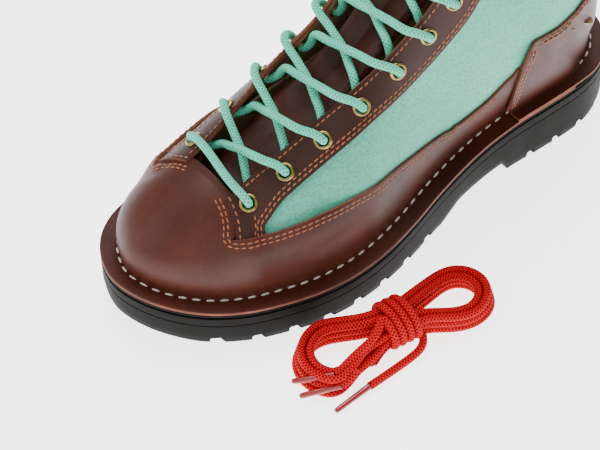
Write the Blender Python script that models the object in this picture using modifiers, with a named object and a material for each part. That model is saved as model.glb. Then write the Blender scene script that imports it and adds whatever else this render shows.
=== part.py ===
"""Left hiking boot, EU 42/43, 6-inch shaft, with a spare pair of laces lying beside it.

Frame: origin under the middle of the sole's bounding box on the ground, toe at -Y, heel at +Y,
the wearer's outer (lateral) side at +X, +Z up.  Lengths below are in millimetres times MM.

The upper is laid out on one surface around the last.  A place on it has three numbers:
  v     station along the boot: 0 toe tip, 1 top of the toe box, 9 heel tip, 15 top of the shaft
  g     0 at the feather line (or the back seam above the heel) and 1 on the ridge of the instep
  lift  distance outside the surface, in millimetres
Every leather panel, pad and lace is a region or a route in (v, g, lift).
"""
import math

import bmesh
import bpy
import numpy as np
from mathutils import Matrix, Vector

MM = 0.001
NAME = "hiking_boot"

# ---- driving dimensions, mm -------------------------------------------------------------
TREAD_DEPTH = 4.5          # depth of the lug grooves
OUTSOLE_UNDER_TOP = 8.5    # outsole's upper face below the welt
SEAM_GAP = 0.35            # air between pieces that touch on the real boot
FLANGE = 11.5              # width of the stitched-down flange, welt edge to feather line
FOOT = 3.0                 # the walls of the upper start this far above the welt
LEATHER = 1.5
LINING = 1.2
LACE_D = 4.2
EYELET_OUT_R = 4.6
EYELET_HOLE_R = 2.8
HOOK_R = 3.4
TONGUE_T = 3.2
TONGUE_SIDE = 9.6          # depth of the tongue under the stays
TONGUE_CROWN = 1.2
TONGUE_UNDER = 4.0         # how far the tongue reaches under each stay
COLLAR_T = 7.0
COLLAR_LIFT = -9.2
TAIL_STEPS = 8             # each tail runs this many 8 mm steps down the lining
SHELL_LIFT = {"lining": -5.6, "stiffener": -2.8, "quarter": 0.0, "stay": 1.8}
OVER_QUARTER = 2.0         # lift of leather that laps over a quarter
OVER_STAY = 4.0            # lift of leather that laps over a lace stay
SLIT = 0.78                # station where the vamp divides into throat and side wraps
TOP_LINE = 14.7            # station where the outer leather ends under the collar
TONGUE_AXIS = (-5.0, -74.0, 70.0)

# ---- sole plan and profile, mm ------------------------------------------------------------
SOLE_Y = (-152, -148, -140, -128, -112, -95, -75, -55, -35, -15, 5, 25, 45, 65, 85, 105, 122,
          136, 146, 152)
SOLE_LATERAL = (-10, 7, 20, 32, 42, 49, 55, 57.5, 56.5, 53, 48, 44, 41.5, 41, 42, 42.5, 40, 33, 21, 0)
SOLE_MEDIAL = (-10, -25, -37, -46, -51.5, -54, -54, -52, -48, -43, -38.5, -35.5, -34.5, -35.5,
               -38, -39.5, -38, -32, -21, 0)
WELT_Y = (-152, -125, -90, -50, -10, 30, 70, 110, 152)
WELT_Z = (31, 26, 23.5, 23.5, 26, 29.5, 32.5, 34, 34.5)
GROUND_Y = (-152, -130, -105, -80, 12, 26, 54, 60, 61, 152)
GROUND_Z = (10, 4.5, 1.2, 0, 0, 6, 7, 7, 0, 0)

# ---- last: stations 1..15 of the upper's surface, mm ---------------------------------------
STATIONS = np.arange(1, 16)
HEEL_STATION = 9
FEATHER_Y = (-98, -68, -36, -2, 34, 68, 98, 121)
BACK_SEAM = ((141, 37.4), (143.5, 47), (143.5, 60), (139.5, 80), (133, 102), (129.5, 130), (131, 188))
RIDGE_X = (-5, -5, -5, -5, -4.5, -4, -3.5, -3, -2.5, -2, -2, -1.5, -1, 0, 0)
RIDGE_Y = (-98, -77, -56, -36, -19, -4, 7, 14, 19, 23, 27, 31, 35, 39, 44)
RIDGE_Z = (72, 81, 95, 111.5, 127, 141, 152, 161, 168, 174, 180, 186, 192.5, 199.5, 208)
BULGE = {1: (1.03, 1.03, 1.04, 1.05, 1.08, 1.12), -1: (1.03, 1.03, 1.07, 1.15, 1.28, 1.47)}
HALF_WIDTH = {1: (39.5, 40, 39.5, 38.5, 38, 37.5, 37.5, 38, 39.5),
              -1: (34.5, 36.5, 37.5, 37.5, 37, 36.5, 36.5, 37, 38.5)}
WIDEST_AT = (.20, .2, .2, .2, .22, .26, .32, .36, .40, .42, .45, .48, .5, .5, .5)
SQUARENESS = (.95, .88, .8, .72, .68, .68, .75, .8, .85, .9, .95, 1, 1, 1, 1)
TOE_SLOPE = 0.20

# ---- seam lines on the upper, as (station, mm) ----------------------------------------------
# Lace lines are measured down from the ridge, and the lower seams up from the feather line.
EYE_LINE = {1: ((.8, 24), (1.31, 24.3), (2.25, 27), (3.15, 30.8), (4.06, 35), (5.06, 39), (6.06, 41.5),
                (7.3, 42), (9, 39), (12, 37), (15, 37)),
            -1: ((.8, 21.5), (1.5, 22), (2.45, 23), (3.36, 25.5), (4.24, 30), (5.2, 35), (6.2, 39),
                 (7.45, 41), (9, 39), (12, 37), (15, 37))}
EYE_TO_THROAT = 8.5
EYE_TO_STAY_EDGE = ((.8, 14), (1.3, 12.5), (2, 9), (3.9, 9), (5, 11.5), (7, 13), (15, 13))
WRAP_EDGE = ((.78, 34), (1.24, 34.5), (1.79, 37.5), (2.34, 39.5), (2.94, 40), (3.58, 37), (4.11, 33.8),
             (4.65, 29.5), (5.21, 26), (5.75, 28), (6.8, 45), (7.6, 61))
COUNTER_EDGE = ((5.95, 6), (6.35, 26), (6.85, 46), (7.6, 65), (8.3, 79), (9, 89), (10, 80), (11, 60),
                (12, 34), (12.75, 11))
EYELETS = {1: (1.31, 2.25, 3.15, 4.06, 5.06, 6.06, 7.3), -1: (1.5, 2.45, 3.36, 4.24, 5.2, 6.17, 7.45)}
HOOKS = (9.3, 11.8)
FAIRING = 0.9              # stations over which the sections turn at the heel
COUNTER_ROWS = (0, 0.2, 0.4, 0.58, 0.73, 0.86, 1)
LAP = 8.0                  # how far one panel reaches under the next

# ---- spare laces, mm -----------------------------------------------------------------------
HANK_ENDS = ((75, -105), (91, -2))
HANK_HALF_WIDTH = 20.0
HANK_WAIST = 14.0
HANK_HEIGHT = 14.0
AGLET_D = 3.4
AGLET_LENGTH = 21.0
SPARE_AGLET = ((99.2, -84.0, 2.6), (99.6, -106.0, 2.0))     # root and tip of the loose tail's aglet

SIDES = ((1, "lateral"), (-1, "medial"))
STRAND_TOP = 3.3           # a crossing strand above or below the line between the throat edges, mm
STRAND_LOW = -0.4


# ---- curves through points -------------------------------------------------------------------
def smooth(xs, ys):
    """A cubic that goes through the points without overshooting."""
    xs, ys = np.asarray(xs, float), np.asarray(ys, float)
    step = np.diff(xs)
    rate = np.diff(ys) / step
    slope = np.zeros_like(ys)
    for i in range(1, len(xs) - 1):
        slope[i] = (rate[i - 1] * step[i] + rate[i] * step[i - 1]) / (step[i - 1] + step[i])
        if rate[i - 1] * rate[i] <= 0:
            slope[i] *= 0.35
    slope[0] = rate[0] + (rate[0] - slope[1]) * 0.5
    slope[-1] = rate[-1] + (rate[-1] - slope[-2]) * 0.5

    def curve(x):
        x = np.clip(np.asarray(x, float), xs[0], xs[-1])
        i = np.clip(np.searchsorted(xs, x) - 1, 0, len(xs) - 2)
        t, h = (x - xs[i]) / step[i], step[i]
        return ((2 * t**3 - 3 * t**2 + 1) * ys[i] + (t**3 - 2 * t**2 + t) * h * slope[i]
                + (3 * t**2 - 2 * t**3) * ys[i + 1] + (t**3 - t**2) * h * slope[i + 1])

    return curve


def line(points):
    """A seam line as a function of the station."""
    return smooth([p[0] for p in points], [p[1] for p in points])


def ease(x, low, high):
    """0 below low, 1 above high, and a smooth step between; high may be the smaller number."""
    t = np.clip((np.asarray(x, float) - low) / (high - low), 0, 1)
    return t * t * (3 - 2 * t)


welt_z = smooth(WELT_Y, WELT_Z)


def ground_z(y):
    """Height of the tread above the ground: toe spring, arch and heel breast."""
    return np.interp(y, GROUND_Y, GROUND_Z)


def outline(side, inset, count=400):
    """The sole's edge on one side, toe to heel, moved in by inset."""
    own, other = (SOLE_LATERAL, SOLE_MEDIAL) if side > 0 else (SOLE_MEDIAL, SOLE_LATERAL)
    ahead = np.c_[other[1:3][::-1], SOLE_Y[1:3][::-1]]
    behind = np.c_[other[-3:-1][::-1], SOLE_Y[-3:-1][::-1]]
    points = np.vstack([ahead, np.c_[own, SOLE_Y], behind]).astype(float)
    along = np.r_[0, np.cumsum(np.hypot(*np.diff(points, axis=0).T))]
    at = np.linspace(along[2], along[-3], count)
    edge = np.c_[smooth(along, points[:, 0])(at), smooth(along, points[:, 1])(at)]
    run = np.gradient(edge, axis=0)
    run /= np.linalg.norm(run, axis=1)[:, None]
    inward = np.c_[-run[:, 1], run[:, 0]] * side
    inward[0], inward[-1] = (0, 1), (0, -1)
    return edge + inward * inset


def fraction(edge):
    along = np.r_[0, np.cumsum(np.hypot(*np.diff(edge, axis=0).T))]
    return along / along[-1]


FEATHER = {side: outline(side, FLANGE) for side, _ in SIDES}
FEATHER_AT = {side: fraction(FEATHER[side]) for side, _ in SIDES}
AT_STATION = {side: smooth(range(10), [0] + [float(np.interp(y, FEATHER[side][:, 1], FEATHER_AT[side]))
                                             for y in FEATHER_Y] + [1.0]) for side, _ in SIDES}


def feather(side, v, inset=None):
    """The feather line at a station, or the sole's edge there at another inset."""
    at = AT_STATION[side](np.minimum(v, HEEL_STATION))
    edge = FEATHER[side] if inset is None else outline(side, inset)
    return np.stack([np.interp(at, FEATHER_AT[side], edge[:, 0]),
                     np.interp(at, FEATHER_AT[side], edge[:, 1])], -1)


ridge = [smooth(STATIONS, row) for row in (RIDGE_X, RIDGE_Y, RIDGE_Z)]
back_y = smooth(range(9, 16), [p[0] for p in BACK_SEAM])
back_z = smooth(range(9, 16), [p[1] for p in BACK_SEAM])
widest_at, squareness = smooth(STATIONS, WIDEST_AT), smooth(STATIONS, SQUARENESS)
half_width = {side: smooth(STATIONS, [abs(feather(side, float(v))[0] - RIDGE_X[v - 1]) * BULGE[side][v - 1]
                                      for v in range(1, 7)] + list(HALF_WIDTH[side]))
              for side, _ in SIDES}


def section(side, v, g):
    """Points of the section through one station of the last, mm."""
    v, g = np.broadcast_arrays(np.asarray(v, float), np.asarray(g, float))
    low = feather(side, v)
    seam = v > HEEL_STATION
    base = np.stack([np.where(seam, 0, low[..., 0]), np.where(seam, back_y(v), low[..., 1]),
                     np.where(seam, back_z(v), welt_z(low[..., 1]) + FOOT)], -1)
    station = np.maximum(v, 1.0)
    top = np.stack([r(station) for r in ridge], -1)
    toe = v < 1
    axis = top[..., 0] * (1 - ease(v, 7, HEEL_STATION))
    reach = np.where(toe, 1.0, np.abs(base[..., 0] - axis))
    first = abs(float(feather(side, 1.0)[0]) - RIDGE_X[0]) / float(half_width[side](1.0))
    width = np.where(toe, 1 / first, np.maximum(half_width[side](station), reach * 1.003))
    ratio = np.clip(reach / width, 0, 1)
    start = np.arcsin(ratio)
    angle = start + g * (math.pi - start)
    below = angle < math.pi / 2
    low_part = widest_at(station) * np.clip((1 - ratio) / 0.03, 0, 1) ** 0.5
    level = np.cos(angle) / np.maximum(np.cos(start), 1e-6)
    rise = np.where(below, low_part * (1 - np.clip(level, 0, 1)),
                    low_part + (1 - low_part) * np.abs(np.cos(angle)) ** squareness(station))
    across = width * np.sin(angle)
    centre = axis + (top[..., 0] - axis) * rise
    points = base + (top - base) * rise[..., None]
    points[..., 0] = centre + side * across
    if np.any(toe):
        fan = top + (base - top) * across[..., None]
        fan[..., 2] = (base[..., 2] + (top[..., 2] - base[..., 2]) * rise
                       + TOE_SLOPE * (fan[..., 1] - top[..., 1]) * rise**2)
        points = np.where(toe[..., None], fan, points)
    return points


def surface(side, v, g):
    """Points of the upper's surface, mm.  The sections turn from the feather line to the back seam
    at the heel, and above the heel the stations on both sides of that turn are faired together."""
    v, g = np.broadcast_arrays(np.asarray(v, float), np.asarray(g, float))
    points = section(side, v, g)
    t = (v - (HEEL_STATION - FAIRING)) / (2 * FAIRING)
    turn = (t > 0) & (t < 1)
    if not np.any(turn):
        return points
    span, part, rise = 2 * FAIRING, t[turn][:, None], g[turn]
    first, last = HEEL_STATION - FAIRING, HEEL_STATION + FAIRING
    ends = [section(side, np.full(rise.shape, at), rise) for at in (first, last)]
    before = section(side, np.full(rise.shape, first - 0.2), rise)
    after = section(side, np.full(rise.shape, last + 0.2), rise)
    rates = (ends[0] - before) * span / 0.2, (after - ends[1]) * span / 0.2
    faired = ((2 * part**3 - 3 * part**2 + 1) * ends[0] + (part**3 - 2 * part**2 + part) * rates[0]
              + (3 * part**2 - 2 * part**3) * ends[1] + (part**3 - part**2) * rates[1])
    share = ease(rise, 0.03, 0.30)[:, None]
    points[turn] = points[turn] * (1 - share) + faired * share
    return points


def normal(side, v, g, reach=0.03):
    """Outward unit normal of the surface; near the foot it is kept from pointing down."""
    v, g = np.broadcast_arrays(np.asarray(v, float), np.asarray(g, float))
    g_low, g_high = np.clip(g - 0.015, 0, 0.97), np.clip(g + 0.015, 0.01, 0.985)
    v_low, v_high = np.maximum(v - reach, 0), np.minimum(v + reach, 15)
    g_mid = np.clip(g, 0.0, 0.98)
    along = surface(side, v_high, g_mid) - surface(side, v_low, g_mid)
    up = surface(side, v, g_high) - surface(side, v, g_low)
    out = np.cross(along, up) * side
    out[..., 2] = np.where(out[..., 2] < 0, out[..., 2] * ease(g, 0.02, 0.15), out[..., 2])
    return out / np.maximum(np.linalg.norm(out, axis=-1, keepdims=True), 1e-9)


def skin(side, v, g, lift):
    """Points at a lift outside the surface, mm; the two sides share one normal on the ridge and
    on the toe and heel centre lines."""
    v, g = np.broadcast_arrays(np.asarray(v, float), np.asarray(g, float))
    out = normal(side, v, g)
    other = normal(-side, v, g)
    centre = np.maximum(ease(g, 0.93, 1.0), np.where(v < 0.08, 1.0 - v / 0.08, 0))
    centre = np.maximum(centre, (1 - ease(g, 0, 0.04)) * ease(v, 8.8, 9.0))
    mean = (out + other) / 2
    out = out + (mean - out) * centre[..., None]
    out /= np.maximum(np.linalg.norm(out, axis=-1, keepdims=True), 1e-9)
    return surface(side, v, g) + out * np.asarray(lift, float)[..., None]


# ---- seam lines as functions of the station ---------------------------------------------------
def heights(side, v, count=60):
    """Distances up the section at one station, for evenly spaced g."""
    points = surface(side, np.full(count, float(v)), np.linspace(0, 1, count))
    return np.r_[0, np.cumsum(np.linalg.norm(np.diff(points, axis=0), axis=1))]


def g_at(side, v, mm, from_ridge=False):
    """The g of places that lie mm above the feather line, or below the ridge."""
    v, mm = np.broadcast_arrays(np.asarray(v, float), np.asarray(mm, float))
    g = np.empty(v.shape)
    for station in np.unique(v):
        rise = heights(side, station)
        here = v == station
        wanted = rise[-1] - mm[here] if from_ridge else mm[here]
        g[here] = np.interp(wanted, rise, np.linspace(0, 1, len(rise)))
    return g


def mm_at(side, v, g):
    """Distance above the feather line at (v, g)."""
    v, g = np.broadcast_arrays(np.asarray(v, float), np.asarray(g, float))
    mm = np.empty(v.shape)
    for station in np.unique(v):
        rise = heights(side, station)
        here = v == station
        mm[here] = np.interp(g[here], np.linspace(0, 1, len(rise)), rise)
    return mm


eye_mm = {side: line(EYE_LINE[side]) for side, _ in SIDES}
stay_mm, wrap_mm, counter_mm = line(EYE_TO_STAY_EDGE), line(WRAP_EDGE), line(COUNTER_EDGE)


def eye_line(side, v):
    return g_at(side, v, eye_mm[side](v), True)


def throat(side, v, inside=0.0):
    return g_at(side, v, eye_mm[side](v) - EYE_TO_THROAT + inside, True)


def stay_edge(side, v, below=0.0):
    return g_at(side, v, eye_mm[side](v) + stay_mm(v) + below, True)


def wrap_edge(side, v, below=0.0):
    return g_at(side, v, wrap_mm(v) - below)


def counter_edge(side, v, below=0.0):
    return g_at(side, v, np.maximum(counter_mm(v) - below, 0))


def ridge_line(side, v):
    return np.ones(np.shape(v))


def seam_line(side, v):
    return np.zeros(np.shape(v))


# ---- scene, materials and mesh helpers ---------------------------------------------------------
for old in list(bpy.data.objects):
    bpy.data.objects.remove(old, do_unlink=True)
parts = bpy.data.collections.new(NAME)
cutters = bpy.data.collections.new(NAME + "_cutters")
for collection in (parts, cutters):
    bpy.context.scene.collection.children.link(collection)


def finish(name, rgb, roughness, metallic=0.0):
    material = bpy.data.materials.new(name)
    material.use_nodes = True
    shader = material.node_tree.nodes["Principled BSDF"]
    shader.inputs["Base Color"].default_value = (*(c ** 2.2 for c in rgb), 1)
    shader.inputs["Roughness"].default_value = roughness
    shader.inputs["Metallic"].default_value = metallic
    return material


BROWN = finish("brown_leather", (.42, .27, .23), 0.45)
DARK_BROWN = finish("dark_brown_leather", (.32, .21, .18), 0.5)
MINT = finish("mint_leather", (.56, .77, .71), 0.55)
TAN = finish("tan_lining", (.62, .47, .34), 0.8)
RUBBER = finish("black_rubber", (.26, .25, .24), 0.75)
FOAM = finish("grey_foam", (.35, .35, .36), 0.9)
BOARD = finish("fibre_board", (.55, .42, .28), 0.85)
STEEL = finish("steel", (.6, .6, .62), 0.35, 1.0)
BRASS = finish("antique_brass", (.60, .56, .38), 0.35, 1.0)
MINT_CORD = finish("mint_lace", (.63, .83, .77), 0.8)
RED_CORD = finish("red_lace", (.78, .14, .16), 0.7)
CLEAR = finish("aglet_plastic", (.75, .78, .76), 0.3)


def add(name, mesh, material, group=parts):
    thing = bpy.data.objects.new(name, mesh)
    mesh.materials.append(material)
    group.objects.link(thing)
    return thing


def weld(name, points, faces):
    """A mesh from loose grids, joined where their points meet."""
    work = bmesh.new()
    corners = [work.verts.new(Vector(p) * MM) for p in points]
    for face in faces:
        work.faces.new([corners[i] for i in face])
    bmesh.ops.remove_doubles(work, verts=work.verts, dist=2e-5)
    bmesh.ops.delete(work, geom=[f for f in work.faces if f.calc_area() < 1e-10], context="FACES")
    mesh = bpy.data.meshes.new(name)
    work.to_mesh(mesh)
    work.free()
    return mesh


class Sheet:
    """Grids of points on the upper that together make one open sheet of leather."""

    def __init__(self):
        self.points = []
        self.faces = []

    def grid(self, rows, side):
        rows = np.asarray(rows, float)
        start, (m, n) = len(self.points), rows.shape[:2]
        self.points += [tuple(p) for p in rows.reshape(-1, 3)]
        for i in range(m - 1):
            for j in range(n - 1):
                a = start + i * n + j
                face = (a, a + n, a + n + 1, a + 1)
                self.faces.append(face if side > 0 else face[::-1])

    def panel(self, side, stations, low, high, rows, lift):
        """The band between two seam lines, with a number of even rows or a list of shares for them.
        The lift is a number or a function of (side, v, g)."""
        v = np.asarray(stations, float)
        ends = low(side, v)[:, None], high(side, v)[:, None]
        share = np.linspace(0, 1, rows) if isinstance(rows, int) else np.asarray(rows, float)
        v = np.repeat(v[:, None], len(share), 1)
        g = ends[0] + (ends[1] - ends[0]) * share[None, :]
        rise = lift(side, v, g) if callable(lift) else np.full(v.shape, float(lift))
        self.grid(skin(side, v, g, rise), side)

    def thicken(self, name, material, thickness):
        thing = add(name, weld(name, self.points, self.faces), material)
        shell = thing.modifiers.new("thickness", "SOLIDIFY")
        shell.thickness = thickness * MM
        shell.offset = 1
        shell.use_even_offset = False
        return thing


def between(low, high):
    """Stations from low to high.  All layers share the ones in the middle, so that the flats of one
    layer lie parallel to the flats of the next."""
    shared = np.r_[1.25, 1.6, np.arange(2, 7, 0.5), np.arange(7, 10, 0.25), np.arange(10, 12.3, 0.5), 12.75, 13.25, 13.75, 14.1,
                   14.4]
    return np.r_[low, shared[(shared > low + 0.06) & (shared < high - 0.06)], high]


def flange_rows(side, stations, lift, wall_lift):
    """Rows of the flange: from the welt's edge in to the foot of the wall."""
    v = np.asarray(stations, float)
    height, wall = lift(v), wall_lift(side, v, 0 * v)
    edge, root = feather(side, v, 0.2), feather(side, v, FLANGE)
    corner = root + (edge - root) * (wall / FLANGE)[:, None]
    rows = []
    for part in (0, 0.5, 1):
        plan = edge + (corner - edge) * part
        rows.append(np.c_[plan, welt_z(plan[:, 1]) + height])
    rows.append(skin(side, v, 0 * v, wall))
    return np.stack(rows, 1)


# ---- sole unit -----------------------------------------------------------------------------------
def slab(name, material, inset_low, inset_high, z_low, z_high, count=34, span=(0.0, 1.0), taper=0.0):
    """A solid between two height functions, lofted over cross-sections from toe to heel."""
    at = span[0] + (span[1] - span[0]) * (1 - np.cos(np.linspace(0, math.pi, count))) / 2
    rings = []
    for side, _ in SIDES:
        for inset, height in ((inset_low, z_low), (inset_high, z_high)):
            edge = outline(side, inset)
            along = fraction(edge)
            x, y = np.interp(at, along, edge[:, 0]), np.interp(at, along, edge[:, 1])
            rings.append(np.c_[x, y, height(y)])
    lateral_low, lateral_high, medial_low, medial_high = rings
    sections = np.stack([lateral_low, lateral_high, medial_high, medial_low], 1)
    if inset_low > 0 or inset_high > 0:
        for end in (0, -1):
            sections[end, [0, 3]] = (sections[end, 0] + sections[end, 3]) / 2
            sections[end, [1, 2]] = (sections[end, 1] + sections[end, 2]) / 2
    points = sections.reshape(-1, 3)
    faces = []
    for i in range(count - 1):
        for j in range(4):
            k = (j + 1) % 4
            faces.append((i * 4 + j, (i + 1) * 4 + j, (i + 1) * 4 + k, i * 4 + k))
    for end in (0, count - 1):
        faces.append(tuple(end * 4 + j for j in range(4)))
    work = bmesh.new()
    corners = [work.verts.new(Vector(p) * MM) for p in points]
    for face in faces:
        work.faces.new([corners[i] for i in face])
    bmesh.ops.remove_doubles(work, verts=work.verts, dist=1e-5)
    bmesh.ops.delete(work, geom=[f for f in work.faces if f.calc_area() < 1e-12], context="FACES_ONLY")
    bmesh.ops.recalc_face_normals(work, faces=work.faces)
    mesh = bpy.data.meshes.new(name)
    work.to_mesh(mesh)
    work.free()
    return add(name, mesh, material)


def block(size, place, turn=0.0):
    """A box cutter in mm, turned about Z."""
    bpy.ops.mesh.primitive_cube_add(size=1, location=[c * MM for c in place], rotation=(0, 0, turn))
    cutter = bpy.context.object
    cutter.scale = [s * MM for s in size]
    return cutter


def join_cutters(name, pieces):
    for piece in bpy.context.selected_objects:
        piece.select_set(False)
    for piece in pieces:
        piece.select_set(True)
    bpy.context.view_layer.objects.active = pieces[0]
    if len(pieces) > 1:
        bpy.ops.object.join()
    cutter = bpy.context.object
    bpy.ops.object.transform_apply(location=True, rotation=True, scale=True)
    cutter.name = name
    cutter.hide_render = True
    cutter.display_type = "WIRE"
    for home in list(cutter.users_collection):
        home.objects.unlink(cutter)
    cutters.objects.link(cutter)
    return cutter


def cut(thing, cutter, name):
    boolean = thing.modifiers.new(name, "BOOLEAN")
    boolean.operation = "DIFFERENCE"
    boolean.solver = "EXACT"
    boolean.object = cutter


def make_sole():
    outsole = slab("outsole", RUBBER, 1.5, 0.5, ground_z, lambda y: welt_z(y) - OUTSOLE_UNDER_TOP, 40)
    grooves = []
    for i in range(8):
        y = -124 + 17.5 * i
        for side, _ in SIDES:
            half = float(np.interp(y, SOLE_Y, SOLE_LATERAL if side > 0 else np.abs(SOLE_MEDIAL)))
            depth = float(ground_z(y)) + TREAD_DEPTH
            grooves.append(block((24, 6, 2 * depth), (side * (half - 4), y, 0), side * 0.12))
    for i in range(4):
        y = 78 + 17.5 * i
        for side, _ in SIDES:
            half = float(np.interp(y, SOLE_Y, SOLE_LATERAL if side > 0 else np.abs(SOLE_MEDIAL)))
            grooves.append(block((24, 5, 2 * TREAD_DEPTH), (side * (half - 4), y, 0), side * -0.1))
    cut(outsole, join_cutters("tread_grooves", grooves), "tread")
    slab("midsole", RUBBER, 0.6, 0.6, lambda y: welt_z(y) - OUTSOLE_UNDER_TOP + SEAM_GAP,
         lambda y: welt_z(y) - SEAM_GAP, 40)
    slab("insole_board", BOARD, 15.5, 15.5, lambda y: welt_z(y) + 0.1, lambda y: welt_z(y) + 2.0, 30)
    shank = slab("shank", STEEL, 15.5, 15.5, lambda y: welt_z(y) + 2.3, lambda y: welt_z(y) + 3.3, 14,
                 (0.40, 0.80))
    squeeze = shank.data
    for corner in squeeze.vertices:
        corner.co.x = corner.co.x * 0.28
    slab("footbed", FOAM, 19.5, 19.0, lambda y: welt_z(y) + 3.7, lambda y: welt_z(y) + 8.0, 30)


# ---- upper -----------------------------------------------------------------------------------------
def wrap_lift(side, v, g):
    """The vamp lies on the lining, and rises over the quarter and the stay at its top edge."""
    high = OVER_QUARTER + (OVER_STAY - OVER_QUARTER) * (1 - ease(v, 2.3, 3.1))
    below = wrap_mm(v) - mm_at(side, v, g)
    return high * (1 - ease(below, LAP + 4, LAP + 12)) * ease(v, 0.62, 0.97) * ease(below, -9, -1)


def apron_lift(side, v, g):
    return wrap_lift(side, np.full(np.shape(v), SLIT), g) * (1 - ease(v, SLIT, 0.94))


def tip_line(side, v):
    """The side wrap's edge carried on round the toe."""
    return np.full(np.shape(v), float(wrap_edge(side, SLIT)))


def apron_low(side, v):
    """Lower edge of the vamp's throat, which tucks in under the stay and the wrap."""
    return float(wrap_edge(side, SLIT)) + 0.14 * ease(v, SLIT, 1.1)


def make_vamp():
    sheet = Sheet()
    toe = np.linspace(0, SLIT, 7)
    wrap = np.r_[SLIT, between(0.95, 7.25)]
    apron = np.r_[SLIT, 0.95, 1.12]
    for side, _ in SIDES:
        sheet.grid(flange_rows(side, np.r_[toe, wrap[1:]], lambda v: 0 * v + SEAM_GAP, wrap_lift), side)
        sheet.panel(side, toe, seam_line, tip_line, 7, wrap_lift)
        sheet.panel(side, toe, tip_line, ridge_line, 7, wrap_lift)
        sheet.panel(side, wrap, seam_line, wrap_edge, 7, wrap_lift)
        sheet.panel(side, apron, apron_low, ridge_line, 7, apron_lift)
    sheet.thicken("vamp", BROWN, LEATHER)


def quarter_low(side, v):
    """The quarter reaches under the wrap and the counter, and at the back to the seam."""
    rear = ease(v, 6.2, 7.2)
    mm = (wrap_mm(v) - LAP) * (1 - rear) + (counter_mm(v) - LAP) * rear
    return g_at(side, v, np.maximum(mm, 1.2))


def make_quarter(side, word):
    sheet = Sheet()
    sheet.panel(side, between(1.25, TOP_LINE), quarter_low, lambda s, v: throat(s, v, 1.5), 8,
                SHELL_LIFT["quarter"])
    return sheet.thicken("quarter_" + word, MINT, 1.2)


def make_stay(side, word):
    sheet = Sheet()
    sheet.panel(side, between(0.98, TOP_LINE), stay_edge, throat, 5, SHELL_LIFT["stay"])
    return sheet.thicken("lace_stay_" + word, DARK_BROWN, LEATHER)


def counter_lift(side, v, g):
    """Over the wrap in front, over the quarter along its top edge, and on the stiffener behind."""
    over_wrap = (OVER_QUARTER + LEATHER + 0.6) * (1 - ease(v, 7.5, 8.0))
    below = counter_mm(v) - mm_at(side, v, g)
    return np.maximum(over_wrap, (OVER_QUARTER + 1.0) * (1 - ease(below, LAP + 4, LAP + 12)))


def counter_flange(v):
    return SEAM_GAP + (LEATHER + 0.4) * (1 - ease(v, 7.5, 8.0))


def make_counter():
    sheet = Sheet()
    front = np.r_[5.95, 6.2, between(6.5, HEEL_STATION)]
    rear = between(HEEL_STATION, 12.75)
    for side, _ in SIDES:
        sheet.grid(flange_rows(side, front, counter_flange, counter_lift), side)
        sheet.panel(side, front, seam_line, counter_edge, COUNTER_ROWS, counter_lift)
        sheet.panel(side, rear, seam_line, counter_edge, COUNTER_ROWS, counter_lift)
    sheet.thicken("heel_counter", BROWN, LEATHER)


def make_backstay():
    sheet = Sheet()
    for side, _ in SIDES:
        sheet.panel(side, between(13.0, TOP_LINE), seam_line, lambda s, v: g_at(s, v, 11.0 + 0 * v), 4,
                    OVER_QUARTER)
    sheet.thicken("backstay", DARK_BROWN, 1.2)


def make_lining(side, word):
    """The lining stops below the eyelets, and under the padded collar."""
    sheet = Sheet()
    low = lambda s, v: g_at(s, v, 8.0 - 6.0 * ease(v, 9.0, 9.9))
    sheet.panel(side, between(1.2, 13.2), low, lambda s, v: stay_edge(s, v, 3.0), 7, SHELL_LIFT["lining"])
    return sheet.thicken("lining_" + word, TAN, LINING)


def make_toe_lining():
    sheet = Sheet()
    low = lambda s, v: g_at(s, v, 6.0 + 0 * v)
    for side, _ in SIDES:
        sheet.panel(side, np.linspace(0, 0.98, 8), low, ridge_line, 8, SHELL_LIFT["lining"])
    sheet.thicken("lining_toe", TAN, LINING)


def make_stiffeners():
    puff = Sheet()
    low = lambda s, v: g_at(s, v, 8.0 * (1 - ease(v, 9.0, 9.9)))
    for side, _ in SIDES:
        puff.panel(side, np.linspace(0, 0.9, 8), low, lambda s, v: 0 * v + 0.62, 7,
                   SHELL_LIFT["stiffener"])
    puff.thicken("toe_puff", BOARD, 1.2)
    cup = Sheet()
    top = lambda s, v: counter_edge(s, v, 4.0)
    for side, _ in SIDES:
        for stations in (between(7.25, HEEL_STATION), between(HEEL_STATION, 12.5)):
            cup.panel(side, stations, low, top, 7, SHELL_LIFT["stiffener"])
    cup.thicken("heel_stiffener", BOARD, 1.2)


def make_collar(side, word):
    sheet = Sheet()
    low = lambda s, v: g_at(s, v, 1.5 + 0 * v)
    sheet.panel(side, between(13.4, 15.0), low, lambda s, v: stay_edge(s, v, 2.0), 12, COLLAR_LIFT)
    sheet.thicken("collar_pad_" + word, FOAM, COLLAR_T)


def gap_point(v, t, lift):
    """A point on the straight line between the throat edges: t is +1 at the lateral edge, -1 at the
    medial one.  The lift is along the ridge's normal in the middle and the upper's at the edges."""
    v, t = np.broadcast_arrays(np.asarray(v, float), np.asarray(t, float))
    ends = [skin(side, v, throat(side, v), 0 * v + lift) for side, _ in SIDES]
    middle = (surface(1, v, throat(1, v)) + surface(-1, v, throat(-1, v))) / 2
    middle = middle + normal(1, v, 0 * v + 0.975) * lift
    part = np.abs(t)[..., None]
    end = np.where((t >= 0)[..., None], ends[0], ends[1])
    return middle * (1 - part) + end * part


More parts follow.
